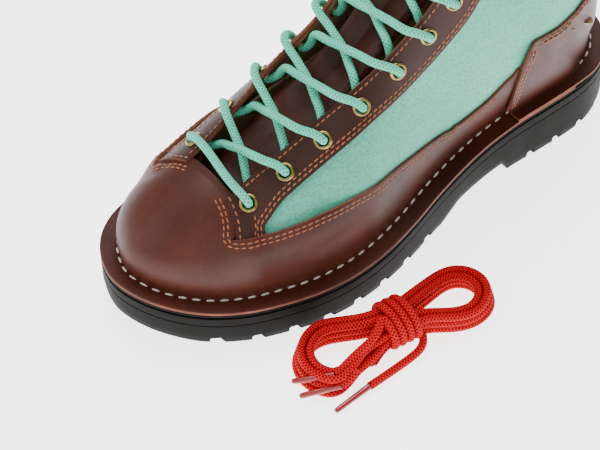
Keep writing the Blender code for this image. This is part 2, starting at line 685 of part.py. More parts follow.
def make_tongue():
    """A padded leaf, flat between the stays, hinged where it is sewn under the vamp's throat."""
    stations = between(1.3, 15.0)
    stations = stations[(stations < 7) | (stations * 2 % 1 < 0.01) | (stations > 12)]
    depth = -(TONGUE_SIDE + TONGUE_T)
    sheet = Sheet()
    v = np.repeat(stations[:, None], 5, 1)
    for side, _ in SIDES:
        t = side * np.linspace(1, 0, 5)[None, :] * np.ones_like(v)
        crown = TONGUE_CROWN * (1 - t**2)[..., None] * normal(1, v, 0 * v + 0.975)
        sheet.grid(gap_point(v, t, depth) + crown, side)
        sheet.panel(side, stations, lambda s, v: throat(s, v, TONGUE_UNDER), throat, 2, depth)
    tongue = sheet.thicken("tongue", BROWN, TONGUE_T)
    pivot = bpy.data.objects.new("tongue_hinge", None)
    pivot.location = Vector(TONGUE_AXIS) * MM
    parts.objects.link(pivot)
    tongue.parent = pivot
    tongue.matrix_parent_inverse = Matrix.Translation(-pivot.location)


# ---- eyelets and hooks --------------------------------------------------------------------------------
def frame_at(side, v, g, lift):
    """Place a small round part: its Z along the surface normal, its origin at the lift."""
    place = skin(side, v, g, lift)
    out = Vector(normal(side, v, g, 0.3)).normalized()
    turn = out.to_track_quat("Z", "Y").to_matrix().to_4x4()
    return Matrix.Translation(Vector(place) * MM) @ turn


def turned(name, profile, material, matrix, steps=10):
    """A turned ring from (radius, height) points that close on themselves."""
    work = bmesh.new()
    corners = [work.verts.new((r * MM, 0, z * MM)) for r, z in profile]
    for a, b in zip(corners, corners[1:] + corners[:1]):
        work.edges.new((a, b))
    bmesh.ops.spin(work, geom=work.verts[:] + work.edges[:], axis=(0, 0, 1), cent=(0, 0, 0),
                   steps=steps, angle=2 * math.pi, use_merge=True)
    bmesh.ops.recalc_face_normals(work, faces=work.faces)
    mesh = bpy.data.meshes.new(name)
    work.to_mesh(mesh)
    work.free()
    thing = add(name, mesh, material)
    thing.matrix_world = matrix
    return thing


def eyelet_profile():
    top = SHELL_LIFT["stay"] + LEATHER + 0.5
    return ((EYELET_HOLE_R, -0.3), (EYELET_HOLE_R + 0.1, top + 0.3), (EYELET_HOLE_R + 0.9, top + 0.9),
            (EYELET_OUT_R, top), (EYELET_HOLE_R + 0.5, top), (EYELET_HOLE_R + 0.5, -0.3))


def hook_profile():
    top = SHELL_LIFT["stay"] + LEATHER + 0.3
    return ((0.02, -0.3), (1.5, -0.3), (1.5, top), (HOOK_R, top), (HOOK_R, top + 0.8), (1.7, top + 1.0),
            (1.7, top + 3.4), (HOOK_R, top + 3.6), (HOOK_R - 0.3, top + 4.6), (0.02, top + 4.9))


def make_fasteners(layers):
    for side, word in SIDES:
        holes = []
        for i, v in enumerate(EYELETS[side], 1):
            place = frame_at(side, v, eye_line(side, v), 0.0)
            turned(f"eyelet_{word}_{i}", eyelet_profile(), BRASS, place)
            holes.append((place, EYELET_HOLE_R + 0.9))
        for i, v in enumerate(HOOKS, 1):
            place = frame_at(side, v, eye_line(side, v), 0.0)
            turned(f"speed_hook_{word}_{i}", hook_profile(), BRASS, place, 10)
            holes.append((place, 1.85))
        pieces = []
        for place, radius in holes:
            bpy.ops.mesh.primitive_cylinder_add(vertices=14, radius=radius * MM, depth=14 * MM)
            bpy.context.object.matrix_world = place
            pieces.append(bpy.context.object)
        cutter = join_cutters("eyelet_holes_" + word, pieces)
        for layer in layers[side]:
            cut(layer, cutter, "eyelet_holes")


# ---- laces ---------------------------------------------------------------------------------------------
def by_eye(side, v, toward_throat, lift):
    """A point beside the line of eyelets, some mm towards the throat."""
    return skin(side, v, g_at(side, v, eye_mm[side](v) - toward_throat, True), lift)


def lace_route():
    """Half laces from the bottom bar up: into an eyelet, under the stay, across to the next one."""
    over = SHELL_LIFT["stay"] + LEATHER + LACE_D / 2 + 1.7
    under = -LACE_D / 2 - 1.6
    through = (over - 1.6, 1.5, -1.9)
    halves = []
    for side, _ in SIDES:
        v = EYELETS[side][0]
        route = [by_eye(side, v - 0.02, 9.5, over - 0.8), by_eye(side, v, 3.4, over)]
        route += [by_eye(side, v, 0, x) for x in through]
        for i in range(len(EYELETS[side]) - 1):
            v0, v1 = EYELETS[side][i], EYELETS[-side][i + 1]
            out, back = v0 + 0.30, v1 - 0.17
            start = by_eye(side, out, EYE_TO_THROAT + 2.6, under + 0.2)
            end = by_eye(-side, back, EYE_TO_THROAT + 2.0, over - 0.1)
            centre = gap_point((out + back) / 2, 0.0, STRAND_TOP if side < 0 else STRAND_LOW)
            route += [by_eye(side, v0 + 0.12, 3.4, under), start, start * 0.45 + centre * 0.55, centre,
                      end * 0.45 + centre * 0.55, end, by_eye(-side, v1 - 0.02, 3.3, over + 0.1)]
            route += [by_eye(-side, v1, 0, x) for x in through]
            side = -side
        halves.append(route + tail_route(side))
    return halves


def tail_route(side):
    """The tails drop down the inside of the lining towards the footbed."""
    v = EYELETS[side][-1]
    inside = SHELL_LIFT["lining"] - LACE_D / 2 - 0.9
    path = [by_eye(side, v + 0.10, -4.0, -4.0), by_eye(side, v + 0.22, -10, inside + 0.6)]
    path += [by_eye(side, v + 0.3 + 0.1 * k, -17 - 8 * k, inside) for k in range(TAIL_STEPS)]
    return path + [by_eye(side, v + 0.3 + 0.1 * TAIL_STEPS, -17 - 8 * TAIL_STEPS, inside - 1.6)]


def rounded(points, spacing):
    """Points along a smooth curve through the route's own points, which stay in it."""
    points = np.asarray(points, float)
    along = np.r_[0, np.cumsum(np.linalg.norm(np.diff(points, axis=0), axis=1))]
    at = [0.0]
    for a, b in zip(along, along[1:]):
        steps = max(1, math.ceil((b - a) / spacing))
        at += [a + (b - a) * (k + 1) / steps for k in range(steps)]
    return np.stack([smooth(along, points[:, k])(at) for k in range(3)], 1)


def tube(name, points, diameter, material):
    curve = bpy.data.curves.new(name, "CURVE")
    curve.dimensions = "3D"
    curve.bevel_depth = diameter / 2 * MM
    curve.bevel_resolution = 2
    curve.use_fill_caps = True
    spline = curve.splines.new("POLY")
    spline.points.add(len(points) - 1)
    for knot, p in zip(spline.points, points):
        knot.co = (*(Vector(p) * MM), 1)
    thing = bpy.data.objects.new(name, curve)
    curve.materials.append(material)
    parts.objects.link(thing)
    return thing


def aglet(name, root, tip, material):
    """A straight plastic sleeve between two points."""
    root, tip = Vector(root) * MM, Vector(tip) * MM
    run = tip - root
    bpy.ops.mesh.primitive_cylinder_add(vertices=12, radius=AGLET_D / 2 * MM, depth=run.length)
    sleeve = bpy.context.object
    sleeve.matrix_world = Matrix.Translation((root + tip) / 2) @ run.to_track_quat("Z", "Y").to_matrix().to_4x4()
    for home in list(sleeve.users_collection):
        home.objects.unlink(sleeve)
    parts.objects.link(sleeve)
    sleeve.name = name
    sleeve.data.materials.append(material)


def make_lace():
    lateral_half, medial_half = lace_route()
    for (side, word), half in zip(SIDES, (lateral_half, medial_half)):
        run = half[-1] - half[-2]
        run /= np.linalg.norm(run)
        root = half[-1] + run * SEAM_GAP
        aglet("lace_aglet_" + word, root, root + run * AGLET_LENGTH, CLEAR)
    tube("lace", rounded(lateral_half[::-1] + medial_half, 9.0), LACE_D, MINT_CORD)


def make_spare_laces():
    """The hank's outer shape, waisted under its wraps, and the aglet of its loose tail."""
    (ax, ay), (bx, by) = HANK_ENDS
    middle = Vector(((ax + bx) / 2, (ay + by) / 2, 0))
    half = math.hypot(bx - ax, by - ay) / 2
    turn = math.atan2(by - ay, bx - ax)
    work = bmesh.new()
    rim = []
    for i in range(36):
        angle = 2 * math.pi * i / 36
        x = half * math.cos(angle)
        width = HANK_WAIST + (HANK_HALF_WIDTH - HANK_WAIST) * float(ease(abs(x), 8, 30))
        y = width * math.sin(angle) * (1 + 0.25 * abs(math.cos(angle)))
        rim.append(work.verts.new((x * MM, y * MM, 0)))
    raised = bmesh.ops.extrude_face_region(work, geom=[work.faces.new(rim)])
    top = [v for v in raised["geom"] if isinstance(v, bmesh.types.BMVert)]
    bmesh.ops.translate(work, vec=(0, 0, HANK_HEIGHT * MM), verts=top)
    bmesh.ops.recalc_face_normals(work, faces=work.faces)
    mesh = bpy.data.meshes.new("spare_lace_hank")
    work.to_mesh(mesh)
    work.free()
    hank = add("spare_lace_hank", mesh, RED_CORD)
    hank.matrix_world = Matrix.Translation(middle * MM) @ Matrix.Rotation(turn, 4, "Z")
    aglet("spare_lace_aglet", *SPARE_AGLET, RED_CORD)


# ---- assembly -------------------------------------------------------------------------------------------
make_sole()
make_vamp()
layers = {}
for side, word in SIDES:
    make_lining(side, word)
    layers[side] = [make_quarter(side, word), make_stay(side, word)]
    make_collar(side, word)
make_toe_lining()
make_stiffeners()
make_counter()
make_backstay()
make_tongue()
make_fasteners(layers)
make_lace()
make_spare_laces()
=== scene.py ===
# %% [markdown]
# # A stitchdown hiking boot and its spare laces
# This notebook dresses a packed boot model: it keeps every joint and every size of the model and gives
# each part the surface of the real thing.  The lengths of the design are in millimetres and are turned
# into metres by MM, because Blender counts in metres.

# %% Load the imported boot
import math

import bmesh
import bpy
import numpy as np
from mathutils import Matrix, Vector


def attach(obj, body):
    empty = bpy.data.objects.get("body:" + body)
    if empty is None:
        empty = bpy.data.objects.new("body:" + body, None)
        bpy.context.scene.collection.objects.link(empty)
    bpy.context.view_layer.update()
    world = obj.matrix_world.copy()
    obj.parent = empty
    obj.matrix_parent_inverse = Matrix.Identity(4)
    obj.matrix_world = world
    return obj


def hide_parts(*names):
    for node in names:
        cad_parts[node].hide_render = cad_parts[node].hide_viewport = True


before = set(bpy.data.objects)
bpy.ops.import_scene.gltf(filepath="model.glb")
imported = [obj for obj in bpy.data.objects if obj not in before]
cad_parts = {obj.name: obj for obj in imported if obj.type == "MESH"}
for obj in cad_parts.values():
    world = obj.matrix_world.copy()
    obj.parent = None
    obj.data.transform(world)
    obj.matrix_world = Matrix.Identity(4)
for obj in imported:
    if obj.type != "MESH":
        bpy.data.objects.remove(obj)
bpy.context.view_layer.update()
bpy.ops.object.select_all(action="DESELECT")
MM = 0.001
SIDES = ((1, "lateral"), (-1, "medial"))

# %% [markdown]
# ## Camera
# A long lens from above the toe's outer side, so that lines on the boot stay nearly parallel, as in a
# catalogue picture.

# %% Camera
VIEW_AZIMUTH, VIEW_ELEVATION = math.radians(50), math.radians(50)
VIEW_DISTANCE = 1.1
VIEW_TARGET = Vector((0.019, -0.060, 0.030))
back = Vector((math.sin(VIEW_AZIMUTH) * math.cos(VIEW_ELEVATION),
               -math.cos(VIEW_AZIMUTH) * math.cos(VIEW_ELEVATION), math.sin(VIEW_ELEVATION)))
bpy.ops.object.camera_add(location=VIEW_TARGET + back * VIEW_DISTANCE,
                          rotation=back.to_track_quat("Z", "Y").to_euler())
camera = bpy.context.object
camera.data.sensor_width = 36
camera.data.lens = 135.3
bpy.context.scene.camera = camera

# %% [markdown]
# ## Shader sums as Python
# A material is easier to read as a sum than as a list of nodes.  Sock wraps one socket, and its operators
# add the Math nodes.  Paint holds a material and makes every other node with one method.


# %% Sock and Paint
class Sock:
    """One shader socket that takes part in arithmetic."""

    def __init__(self, paint, socket):
        self.paint, self.socket = paint, socket

    def join(self, operation, other, swapped=False):
        first, second = (other, self) if swapped else (self, other)
        return self.paint.node("ShaderNodeMath", {"operation": operation}, {0: first, 1: second})

    def __add__(self, other):
        return self.join("ADD", other)

    def __sub__(self, other):
        return self.join("SUBTRACT", other)

    def __rsub__(self, other):
        return self.join("SUBTRACT", other, True)

    def __mul__(self, other):
        return self.join("MULTIPLY", other)

    __radd__, __rmul__ = __add__, __mul__


class Paint:
    """A material whose Principled shader is fed by expressions."""

    def __init__(self, name, roughness=0.5, metallic=0.0, specular=0.5, coat=0.0, sheen=0.0):
        self.material = bpy.data.materials.new(name)
        self.material.use_nodes = True
        self.nodes = self.material.node_tree.nodes
        self.links = self.material.node_tree.links
        self.shader = self.nodes["Principled BSDF"]
        plain = {"Roughness": roughness, "Metallic": metallic, "Specular IOR Level": specular,
                 "Coat Weight": coat, "Sheen Weight": sheen, "Coat Roughness": 0.25}
        for socket, value in plain.items():
            self.shader.inputs[socket].default_value = value

    def node(self, kind, settings, values, out=0):
        made = self.nodes.new(kind)
        for key, value in settings.items():
            if key == "stops":
                ramp = made.color_ramp
                while len(ramp.elements) < len(value):
                    ramp.elements.new(0.5)
                for stop, (place, colour) in zip(ramp.elements, value):
                    stop.position, stop.color = place, colour
            else:
                setattr(made, key, value)
        for key, value in values.items():
            if isinstance(value, Sock):
                self.links.new(value.socket, made.inputs[key])
            else:
                made.inputs[key].default_value = value
        return Sock(self, made.outputs[out])

    def place(self, stretch=(1, 1, 1), turn=(0, 0, 0)):
        where = self.node("ShaderNodeTexCoord", {}, {}, "Object")
        if stretch == (1, 1, 1) and turn == (0, 0, 0):
            return where
        return self.node("ShaderNodeMapping", {}, {"Vector": where, "Scale": stretch, "Rotation": turn})

    def along(self):
        """The piece's own UV map: metres along it, and the share of a turn round it."""
        return self.node("ShaderNodeUVMap", {"uv_map": "run"}, {})

    def noise(self, vector, scale, detail=3.0, rough=0.55):
        return self.node("ShaderNodeTexNoise", {}, {"Vector": vector, "Scale": scale, "Detail": detail,
                                                    "Roughness": rough})

    def cells(self, vector, scale, feature="F1", smooth=None):
        settings = {"feature": "SMOOTH_F1" if smooth else feature}
        values = {"Vector": vector, "Scale": scale}
        if smooth:
            values["Smoothness"] = smooth
        return self.node("ShaderNodeTexVoronoi", settings, values)

    def ramp(self, factor, *stops):
        return self.node("ShaderNodeValToRGB", {"stops": [(p, (*c, 1)) for p, c in stops]}, {"Fac": factor})

    def mix(self, factor, first, second):
        made = self.nodes.new("ShaderNodeMix")
        made.data_type = "RGBA"
        for socket, value in ((made.inputs[0], factor), (made.inputs[6], first), (made.inputs[7], second)):
            if isinstance(value, Sock):
                self.links.new(value.socket, socket)
            else:
                socket.default_value = (*value, 1) if isinstance(value, tuple) else value
        return Sock(self, made.outputs[2])

    def bump(self, height, distance, strength=1.0, under=None):
        values = {"Height": height, "Distance": distance, "Strength": strength}
        if under:
            values["Normal"] = under
        return self.node("ShaderNodeBump", {}, values)

    def feed(self, **parts):
        for name, value in parts.items():
            self.links.new(value.socket, self.shader.inputs[name.replace("_", " ")])
        return self.material


def shade(red, green, blue):
    """A screen colour, 0 to 255, as linear light."""
    return tuple(((c / 255 + 0.055) / 1.055) ** 2.4 if c > 10 else c / 255 / 12.92
                 for c in (red, green, blue))


# %% [markdown]
# ## Leathers
# Waxed full-grain leather is a brown that lightens where it is pulled over the last, with a grain of very
# small cells and a satin finish.  The cut edges show the orange-brown inside of the hide.  The coloured
# quarter is a softer hide with a pebbled grain and fine slack creases, whose pits and hollows are painted
# darker as shade.


# %% Leather materials
def grained_leather(name, deep, mid, light, roughness, cell, grain, coat):
    paint = Paint(name, roughness, coat=coat, specular=0.2)
    where = paint.place()
    cloud = paint.noise(where, 26, 4)
    fine = paint.noise(where, 520, 3)
    tone = paint.ramp(cloud * 0.8 + fine * 0.2, (0.30, deep), (0.52, mid), (0.78, light))
    pits = paint.cells(where, cell, smooth=0.35)
    wear = paint.noise(where, 90, 5, 0.7)
    first = paint.bump(pits, grain, 0.5)
    second = paint.bump(wear, grain * 3.2, 0.35, first)
    gloss = paint.noise(where, 140, 4) * 0.22 + (roughness - 0.11)
    return paint.feed(Base_Color=tone, Roughness=gloss, Normal=second)


VAMP_LEATHER = grained_leather("vamp_leather", shade(52, 20, 12), shade(68, 28, 17), shade(86, 39, 26),
                               0.48, 1500, 0.00010, 0.05)
STAY_LEATHER = grained_leather("stay_leather", shade(40, 18, 12), shade(52, 25, 17), shade(66, 34, 25),
                               0.48, 1400, 0.00012, 0.03)
TONGUE_LEATHER = grained_leather("tongue_leather", shade(42, 18, 12), shade(58, 27, 19), shade(76, 40, 31),
                                 0.42, 1200, 0.00014, 0.06)


def quarter_leather():
    paint = Paint("mint_leather", 0.55, specular=0.25)
    where = paint.place()
    cloud = paint.noise(where, 22, 3)
    pebble = paint.cells(where, 760, smooth=0.5)
    crease_way = paint.place((1, 0.35, 1.4), (0.5, 0.2, 0.4))
    crease = paint.noise(crease_way, 170, 6, 0.65)
    # The tone is partly a random cloud and partly painted shade: the crease noise that the bump raises also
    # makes the crease hollows darker.
    tone = paint.ramp(cloud * 0.65 + crease * 0.35, (0.30, shade(82, 168, 144)),
                      (0.52, shade(94, 184, 160)), (0.75, shade(108, 198, 174)))
    # Painted shade: the pebble grain's low places, its pits, are mixed towards a darker mint.
    dark = paint.mix(paint.ramp(pebble, (0.0, (0, 0, 0)), (0.6, (1, 1, 1))), shade(66, 148, 122), tone)
    first = paint.bump(pebble, 0.00022, 0.55)
    second = paint.bump(crease, 0.0009, 0.5, first)
    return paint.feed(Base_Color=dark, Roughness=cloud * 0.15 + 0.46, Normal=second)


MINT_LEATHER = quarter_leather()


def raw_edge():
    paint = Paint("cut_leather_edge", 0.8)
    fibre = paint.noise(paint.place((1, 1, 3)), 900, 5, 0.7)
    blotch = paint.noise(paint.place(), 70, 3)
    tone = paint.ramp(fibre * 0.5 + blotch * 0.5, (0.32, shade(70, 30, 16)), (0.5, shade(112, 54, 32)),
                      (0.72, shade(150, 84, 52)))
    return paint.feed(Base_Color=tone, Normal=paint.bump(fibre, 0.0003, 0.8))


CUT_EDGE = raw_edge()


def lining_leather():
    paint = Paint("tan_lining_leather", 0.75)
    where = paint.place()
    tone = paint.ramp(paint.noise(where, 40, 4), (0.3, shade(146, 112, 84)), (0.7, shade(184, 148, 114)))
    return paint.feed(Base_Color=tone, Normal=paint.bump(paint.cells(where, 1100, smooth=0.4), 0.0002, 0.6))


TAN_LEATHER = lining_leather()

# %% [markdown]
# ## Thread, rubber, metal and foam
# A stitch is a strand of twisted thread; its colour varies in short diagonal steps that follow the twist's
# bump, as painted shade and highlight.  Rubber is dull and holds a little dust.  Brass eyelets are antiqued:
# the high places are rubbed bright.


# %% Thread, rubber, metal and foam materials
def thread(name, dark, light):
    paint = Paint(name, 0.6, sheen=0.2)
    where = paint.place((1, 1, 1), (0.4, 0.6, 0.3))
    twist = paint.noise(where, 1600, 2)
    # Painted shade and highlight: the colour follows the twist noise that the bump raises, darker in its low
    # places and lighter on its high ones.
    return paint.feed(Base_Color=paint.ramp(twist, (0.35, dark), (0.65, light)),
                      Normal=paint.bump(twist, 0.0003, 0.8))


TAN_THREAD = thread("tan_thread", shade(116, 56, 22), shade(186, 100, 44))
WHITE_THREAD = thread("welt_thread", shade(170, 152, 138), shade(238, 228, 218))


def rubber(name, dark, light):
    paint = Paint(name, 0.8, specular=0.08)
    where = paint.place()
    dust = paint.noise(where, 60, 5, 0.65)
    speck = paint.noise(where, 1400, 2)
    tone = paint.ramp(dust * 0.7 + speck * 0.3, (0.32, dark), (0.68, light))
    return paint.feed(Base_Color=tone, Roughness=dust * 0.3 + 0.5, Normal=paint.bump(speck, 0.00025, 0.6))


SOLE_RUBBER = rubber("sole_rubber", shade(10, 10, 9), shade(20, 19, 17))


def antique_brass():
    paint = Paint("antiqued_brass", 0.3, 1.0)
    where = paint.place()
    stain = paint.noise(where, 420, 4)
    tone = paint.ramp(stain, (0.3, shade(104, 84, 44)), (0.55, shade(158, 138, 84)),
                      (0.75, shade(196, 180, 126)))
    return paint.feed(Base_Color=tone, Roughness=stain * 0.3 + 0.2,
                      Normal=paint.bump(paint.noise(where, 900, 3), 0.0001, 0.4))


BRASS = antique_brass()


def mesh_fabric():
    paint = Paint("collar_mesh_fabric", 0.9, sheen=0.3)
    where = paint.place()
    knit = paint.cells(where, 620, "DISTANCE_TO_EDGE")
    tone = paint.ramp(knit, (0.02, shade(72, 72, 74)), (0.2, shade(46, 46, 48)))
    return paint.feed(Base_Color=tone, Normal=paint.bump(knit, 0.0006, 0.8))


COLLAR_FABRIC = mesh_fabric()


def braid(name, dark, mid, light, ribs, pitch, hollow):
    """A round braid: two sets of strands wind round the cord in opposite directions."""
    paint = Paint(name, 0.85, specular=0.15)
    run = paint.node("ShaderNodeSeparateXYZ", {}, {0: paint.along()})
    around = Sock(paint, run.socket.node.outputs[1])
    turn, step = around * (2 * math.pi * ribs), run * (2 * math.pi / pitch)
    waves = [paint.node("ShaderNodeMath", {"operation": "SINE"}, {0: step + turn}),
             paint.node("ShaderNodeMath", {"operation": "SINE"}, {0: step - turn})]
    top = waves[0].join("MAXIMUM", waves[1])
    fluff = paint.noise(paint.place(), 1900, 2)
    # Painted shade and highlight: the colour is lighter on the strands' crests and darker in the hollows
    # between them, following the relief the bump draws; the fluff noise both tints and bumps, so its low
    # places are painted darker too.
    tone = paint.ramp(top * 0.30 + fluff * 0.40 + 0.12, (0.18, dark), (0.44, mid), (0.70, light))
    return paint.feed(Base_Color=tone, Normal=paint.bump(top * 0.8 + fluff * 0.5, hollow, 0.8))


MINT_BRAID = braid("mint_lace_braid", shade(62, 164, 134), shade(84, 204, 172), shade(118, 226, 196),
                   5, 0.0016, 0.00035)
RED_BRAID = braid("red_lace_braid", shade(120, 0, 4), shade(196, 4, 12), shade(226, 24, 32),
                  5, 0.0017, 0.00045)


def sleeve_plastic(name, colour):
    paint = Paint(name, 0.25, coat=0.5)
    smear = paint.noise(paint.place((1, 1, 1)), 300, 2)
    return paint.feed(Base_Color=paint.mix(smear, colour, tuple(c * 0.75 for c in colour)),
                      Roughness=smear * 0.2 + 0.15)


CLEAR_AGLET = sleeve_plastic("clear_aglet", shade(190, 214, 204))
RED_AGLET = sleeve_plastic("red_aglet", shade(150, 4, 8))

# %% [markdown]
# ## The last
# A boot is lasted: its leather is pulled over a foot-shaped block.  The block here is a formula.  Seven
# short rows of numbers give the sole's outline, the line over the instep, the back seam and the widths, and
# a place on the leather is then three numbers: v runs along the boot from the toe tip (0) over the toe box
# (1) and the heel tip (9) to the top of the shaft (15), g climbs from the sole (0) to the instep line (1),
# and lift is the distance outside the block.  All panels, seams and laces are drawn in these numbers, so
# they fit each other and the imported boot.

# %% Sizes of the boot, in millimetres
FLANGE = 11.5              # width of the stitched-down flange
FOOT = 3.0                 # the walls of the upper start this far above the welt
LEATHER = 1.5
LACE_D = 4.2
SLIT = 0.78                # station where the vamp divides into throat and side wraps
TOP_LINE = 14.7            # station where the outer leather ends under the collar
TREAD_DEPTH = 4.5
SOLE_Y = (-152, -148, -140, -128, -112, -95, -75, -55, -35, -15, 5, 25, 45, 65, 85, 105, 122,
          136, 146, 152)
SOLE_LATERAL = (-10, 7, 20, 32, 42, 49, 55, 57.5, 56.5, 53, 48, 44, 41.5, 41, 42, 42.5, 40, 33, 21, 0)
SOLE_MEDIAL = (-10, -25, -37, -46, -51.5, -54, -54, -52, -48, -43, -38.5, -35.5, -34.5, -35.5,
               -38, -39.5, -38, -32, -21, 0)
WELT_Y = (-152, -125, -90, -50, -10, 30, 70, 110, 152)
WELT_Z = (31, 26, 23.5, 23.5, 26, 29.5, 32.5, 34, 34.5)
GROUND_Y = (-152, -130, -105, -80, 12, 26, 54, 60, 61, 152)
GROUND_Z = (10, 4.5, 1.2, 0, 0, 6, 7, 7, 0, 0)

STATIONS = np.arange(1, 16)
HEEL_STATION = 9
FEATHER_Y = (-98, -68, -36, -2, 34, 68, 98, 121)
BACK_SEAM = ((141, 37.4), (143.5, 47), (143.5, 60), (139.5, 80), (133, 102), (129.5, 130), (131, 188))
RIDGE_X = (-5, -5, -5, -5, -4.5, -4, -3.5, -3, -2.5, -2, -2, -1.5, -1, 0, 0)
RIDGE_Y = (-98, -77, -56, -36, -19, -4, 7, 14, 19, 23, 27, 31, 35, 39, 44)
RIDGE_Z = (72, 81, 95, 111.5, 127, 141, 152, 161, 168, 174, 180, 186, 192.5, 199.5, 208)
BULGE = {1: (1.03, 1.03, 1.04, 1.05, 1.08, 1.12), -1: (1.03, 1.03, 1.07, 1.15, 1.28, 1.47)}
HALF_WIDTH = {1: (39.5, 40, 39.5, 38.5, 38, 37.5, 37.5, 38, 39.5),
              -1: (34.5, 36.5, 37.5, 37.5, 37, 36.5, 36.5, 37, 38.5)}
WIDEST_AT = (.20, .2, .2, .2, .22, .26, .32, .36, .40, .42, .45, .48, .5, .5, .5)
SQUARENESS = (.95, .88, .8, .72, .68, .68, .75, .8, .85, .9, .95, 1, 1, 1, 1)
TOE_SLOPE = 0.20

# Lace lines are measured down from the ridge, and the lower seams up from the feather line.
EYE_LINE = {1: ((.8, 24), (1.31, 24.3), (2.25, 27), (3.15, 30.8), (4.06, 35), (5.06, 39), (6.06, 41.5),
                (7.3, 42), (9, 39), (12, 37), (15, 37)),
            -1: ((.8, 21.5), (1.5, 22), (2.45, 23), (3.36, 25.5), (4.24, 30), (5.2, 35), (6.2, 39),
                 (7.45, 41), (9, 39), (12, 37), (15, 37))}
EYE_TO_THROAT = 8.5
EYE_TO_STAY_EDGE = ((.8, 14), (1.3, 12.5), (2, 9), (3.9, 9), (5, 11.5), (7, 13), (15, 13))
WRAP_EDGE = ((.78, 34), (1.24, 34.5), (1.79, 37.5), (2.34, 39.5), (2.94, 40), (3.58, 37), (4.11, 33.8),
             (4.65, 29.5), (5.21, 26), (5.75, 28), (6.8, 45), (7.6, 61))
COUNTER_EDGE = ((5.95, 6), (6.35, 26), (6.85, 46), (7.6, 65), (8.3, 79), (9, 89), (10, 80), (11, 60),
                (12, 34), (12.75, 11))
EYELETS = {1: (1.31, 2.25, 3.15, 4.06, 5.06, 6.06, 7.3), -1: (1.5, 2.45, 3.36, 4.24, 5.2, 6.17, 7.45)}
HOOKS = (9.3, 11.8)
FAIRING = 0.9              # stations over which the sections turn at the heel
LAP = 8.0                  # how far one panel reaches under the next

# %% Curves and the sole's outline
def smooth(xs, ys):
    """A cubic that goes through the points without overshooting."""
    xs, ys = np.asarray(xs, float), np.asarray(ys, float)
    step = np.diff(xs)
    rate = np.diff(ys) / step
    slope = np.zeros_like(ys)
    for i in range(1, len(xs) - 1):
        slope[i] = (rate[i - 1] * step[i] + rate[i] * step[i - 1]) / (step[i - 1] + step[i])
        if rate[i - 1] * rate[i] <= 0:
            slope[i] *= 0.35
    slope[0] = rate[0] + (rate[0] - slope[1]) * 0.5
    slope[-1] = rate[-1] + (rate[-1] - slope[-2]) * 0.5

    def curve(x):
        x = np.clip(np.asarray(x, float), xs[0], xs[-1])
        i = np.clip(np.searchsorted(xs, x) - 1, 0, len(xs) - 2)
        t, h = (x - xs[i]) / step[i], step[i]
        return ((2 * t**3 - 3 * t**2 + 1) * ys[i] + (t**3 - 2 * t**2 + t) * h * slope[i]
                + (3 * t**2 - 2 * t**3) * ys[i + 1] + (t**3 - t**2) * h * slope[i + 1])

    return curve


def line(points):
    """A seam line as a function of the station."""
    return smooth([p[0] for p in points], [p[1] for p in points])


def ease(x, low, high):
    """0 below low, 1 above high, and a smooth step between; high may be the smaller number."""
    t = np.clip((np.asarray(x, float) - low) / (high - low), 0, 1)
    return t * t * (3 - 2 * t)


welt_z = smooth(WELT_Y, WELT_Z)


def ground_z(y):
    """Height of the tread above the ground: toe spring, arch and heel breast."""
    return np.interp(y, GROUND_Y, GROUND_Z)


def outline(side, inset, count=400):
    """The sole's edge on one side, toe to heel, moved in by inset."""
    own, other = (SOLE_LATERAL, SOLE_MEDIAL) if side > 0 else (SOLE_MEDIAL, SOLE_LATERAL)
    ahead = np.c_[other[1:3][::-1], SOLE_Y[1:3][::-1]]
    behind = np.c_[other[-3:-1][::-1], SOLE_Y[-3:-1][::-1]]
    points = np.vstack([ahead, np.c_[own, SOLE_Y], behind]).astype(float)
    along = np.r_[0, np.cumsum(np.hypot(*np.diff(points, axis=0).T))]
    at = np.linspace(along[2], along[-3], count)
    edge = np.c_[smooth(along, points[:, 0])(at), smooth(along, points[:, 1])(at)]
    run = np.gradient(edge, axis=0)
    run /= np.linalg.norm(run, axis=1)[:, None]
    inward = np.c_[-run[:, 1], run[:, 0]] * side
    inward[0], inward[-1] = (0, 1), (0, -1)
    return edge + inward * inset


def fraction(edge):
    along = np.r_[0, np.cumsum(np.hypot(*np.diff(edge, axis=0).T))]
    return along / along[-1]


FEATHER = {side: outline(side, FLANGE) for side, _ in SIDES}
FEATHER_AT = {side: fraction(FEATHER[side]) for side, _ in SIDES}
AT_STATION = {side: smooth(range(10), [0] + [float(np.interp(y, FEATHER[side][:, 1], FEATHER_AT[side]))
                                             for y in FEATHER_Y] + [1.0]) for side, _ in SIDES}


def feather(side, v, inset=None):
    """The feather line at a station, or the sole's edge there at another inset."""
    at = AT_STATION[side](np.minimum(v, HEEL_STATION))
    edge = FEATHER[side] if inset is None else outline(side, inset)
    return np.stack([np.interp(at, FEATHER_AT[side], edge[:, 0]),
                     np.interp(at, FEATHER_AT[side], edge[:, 1])], -1)


# %% The surface round the last
ridge = [smooth(STATIONS, row) for row in (RIDGE_X, RIDGE_Y, RIDGE_Z)]
back_y = smooth(range(9, 16), [p[0] for p in BACK_SEAM])
back_z = smooth(range(9, 16), [p[1] for p in BACK_SEAM])
widest_at, squareness = smooth(STATIONS, WIDEST_AT), smooth(STATIONS, SQUARENESS)
half_width = {side: smooth(STATIONS, [abs(feather(side, float(v))[0] - RIDGE_X[v - 1]) * BULGE[side][v - 1]
                                      for v in range(1, 7)] + list(HALF_WIDTH[side]))
              for side, _ in SIDES}


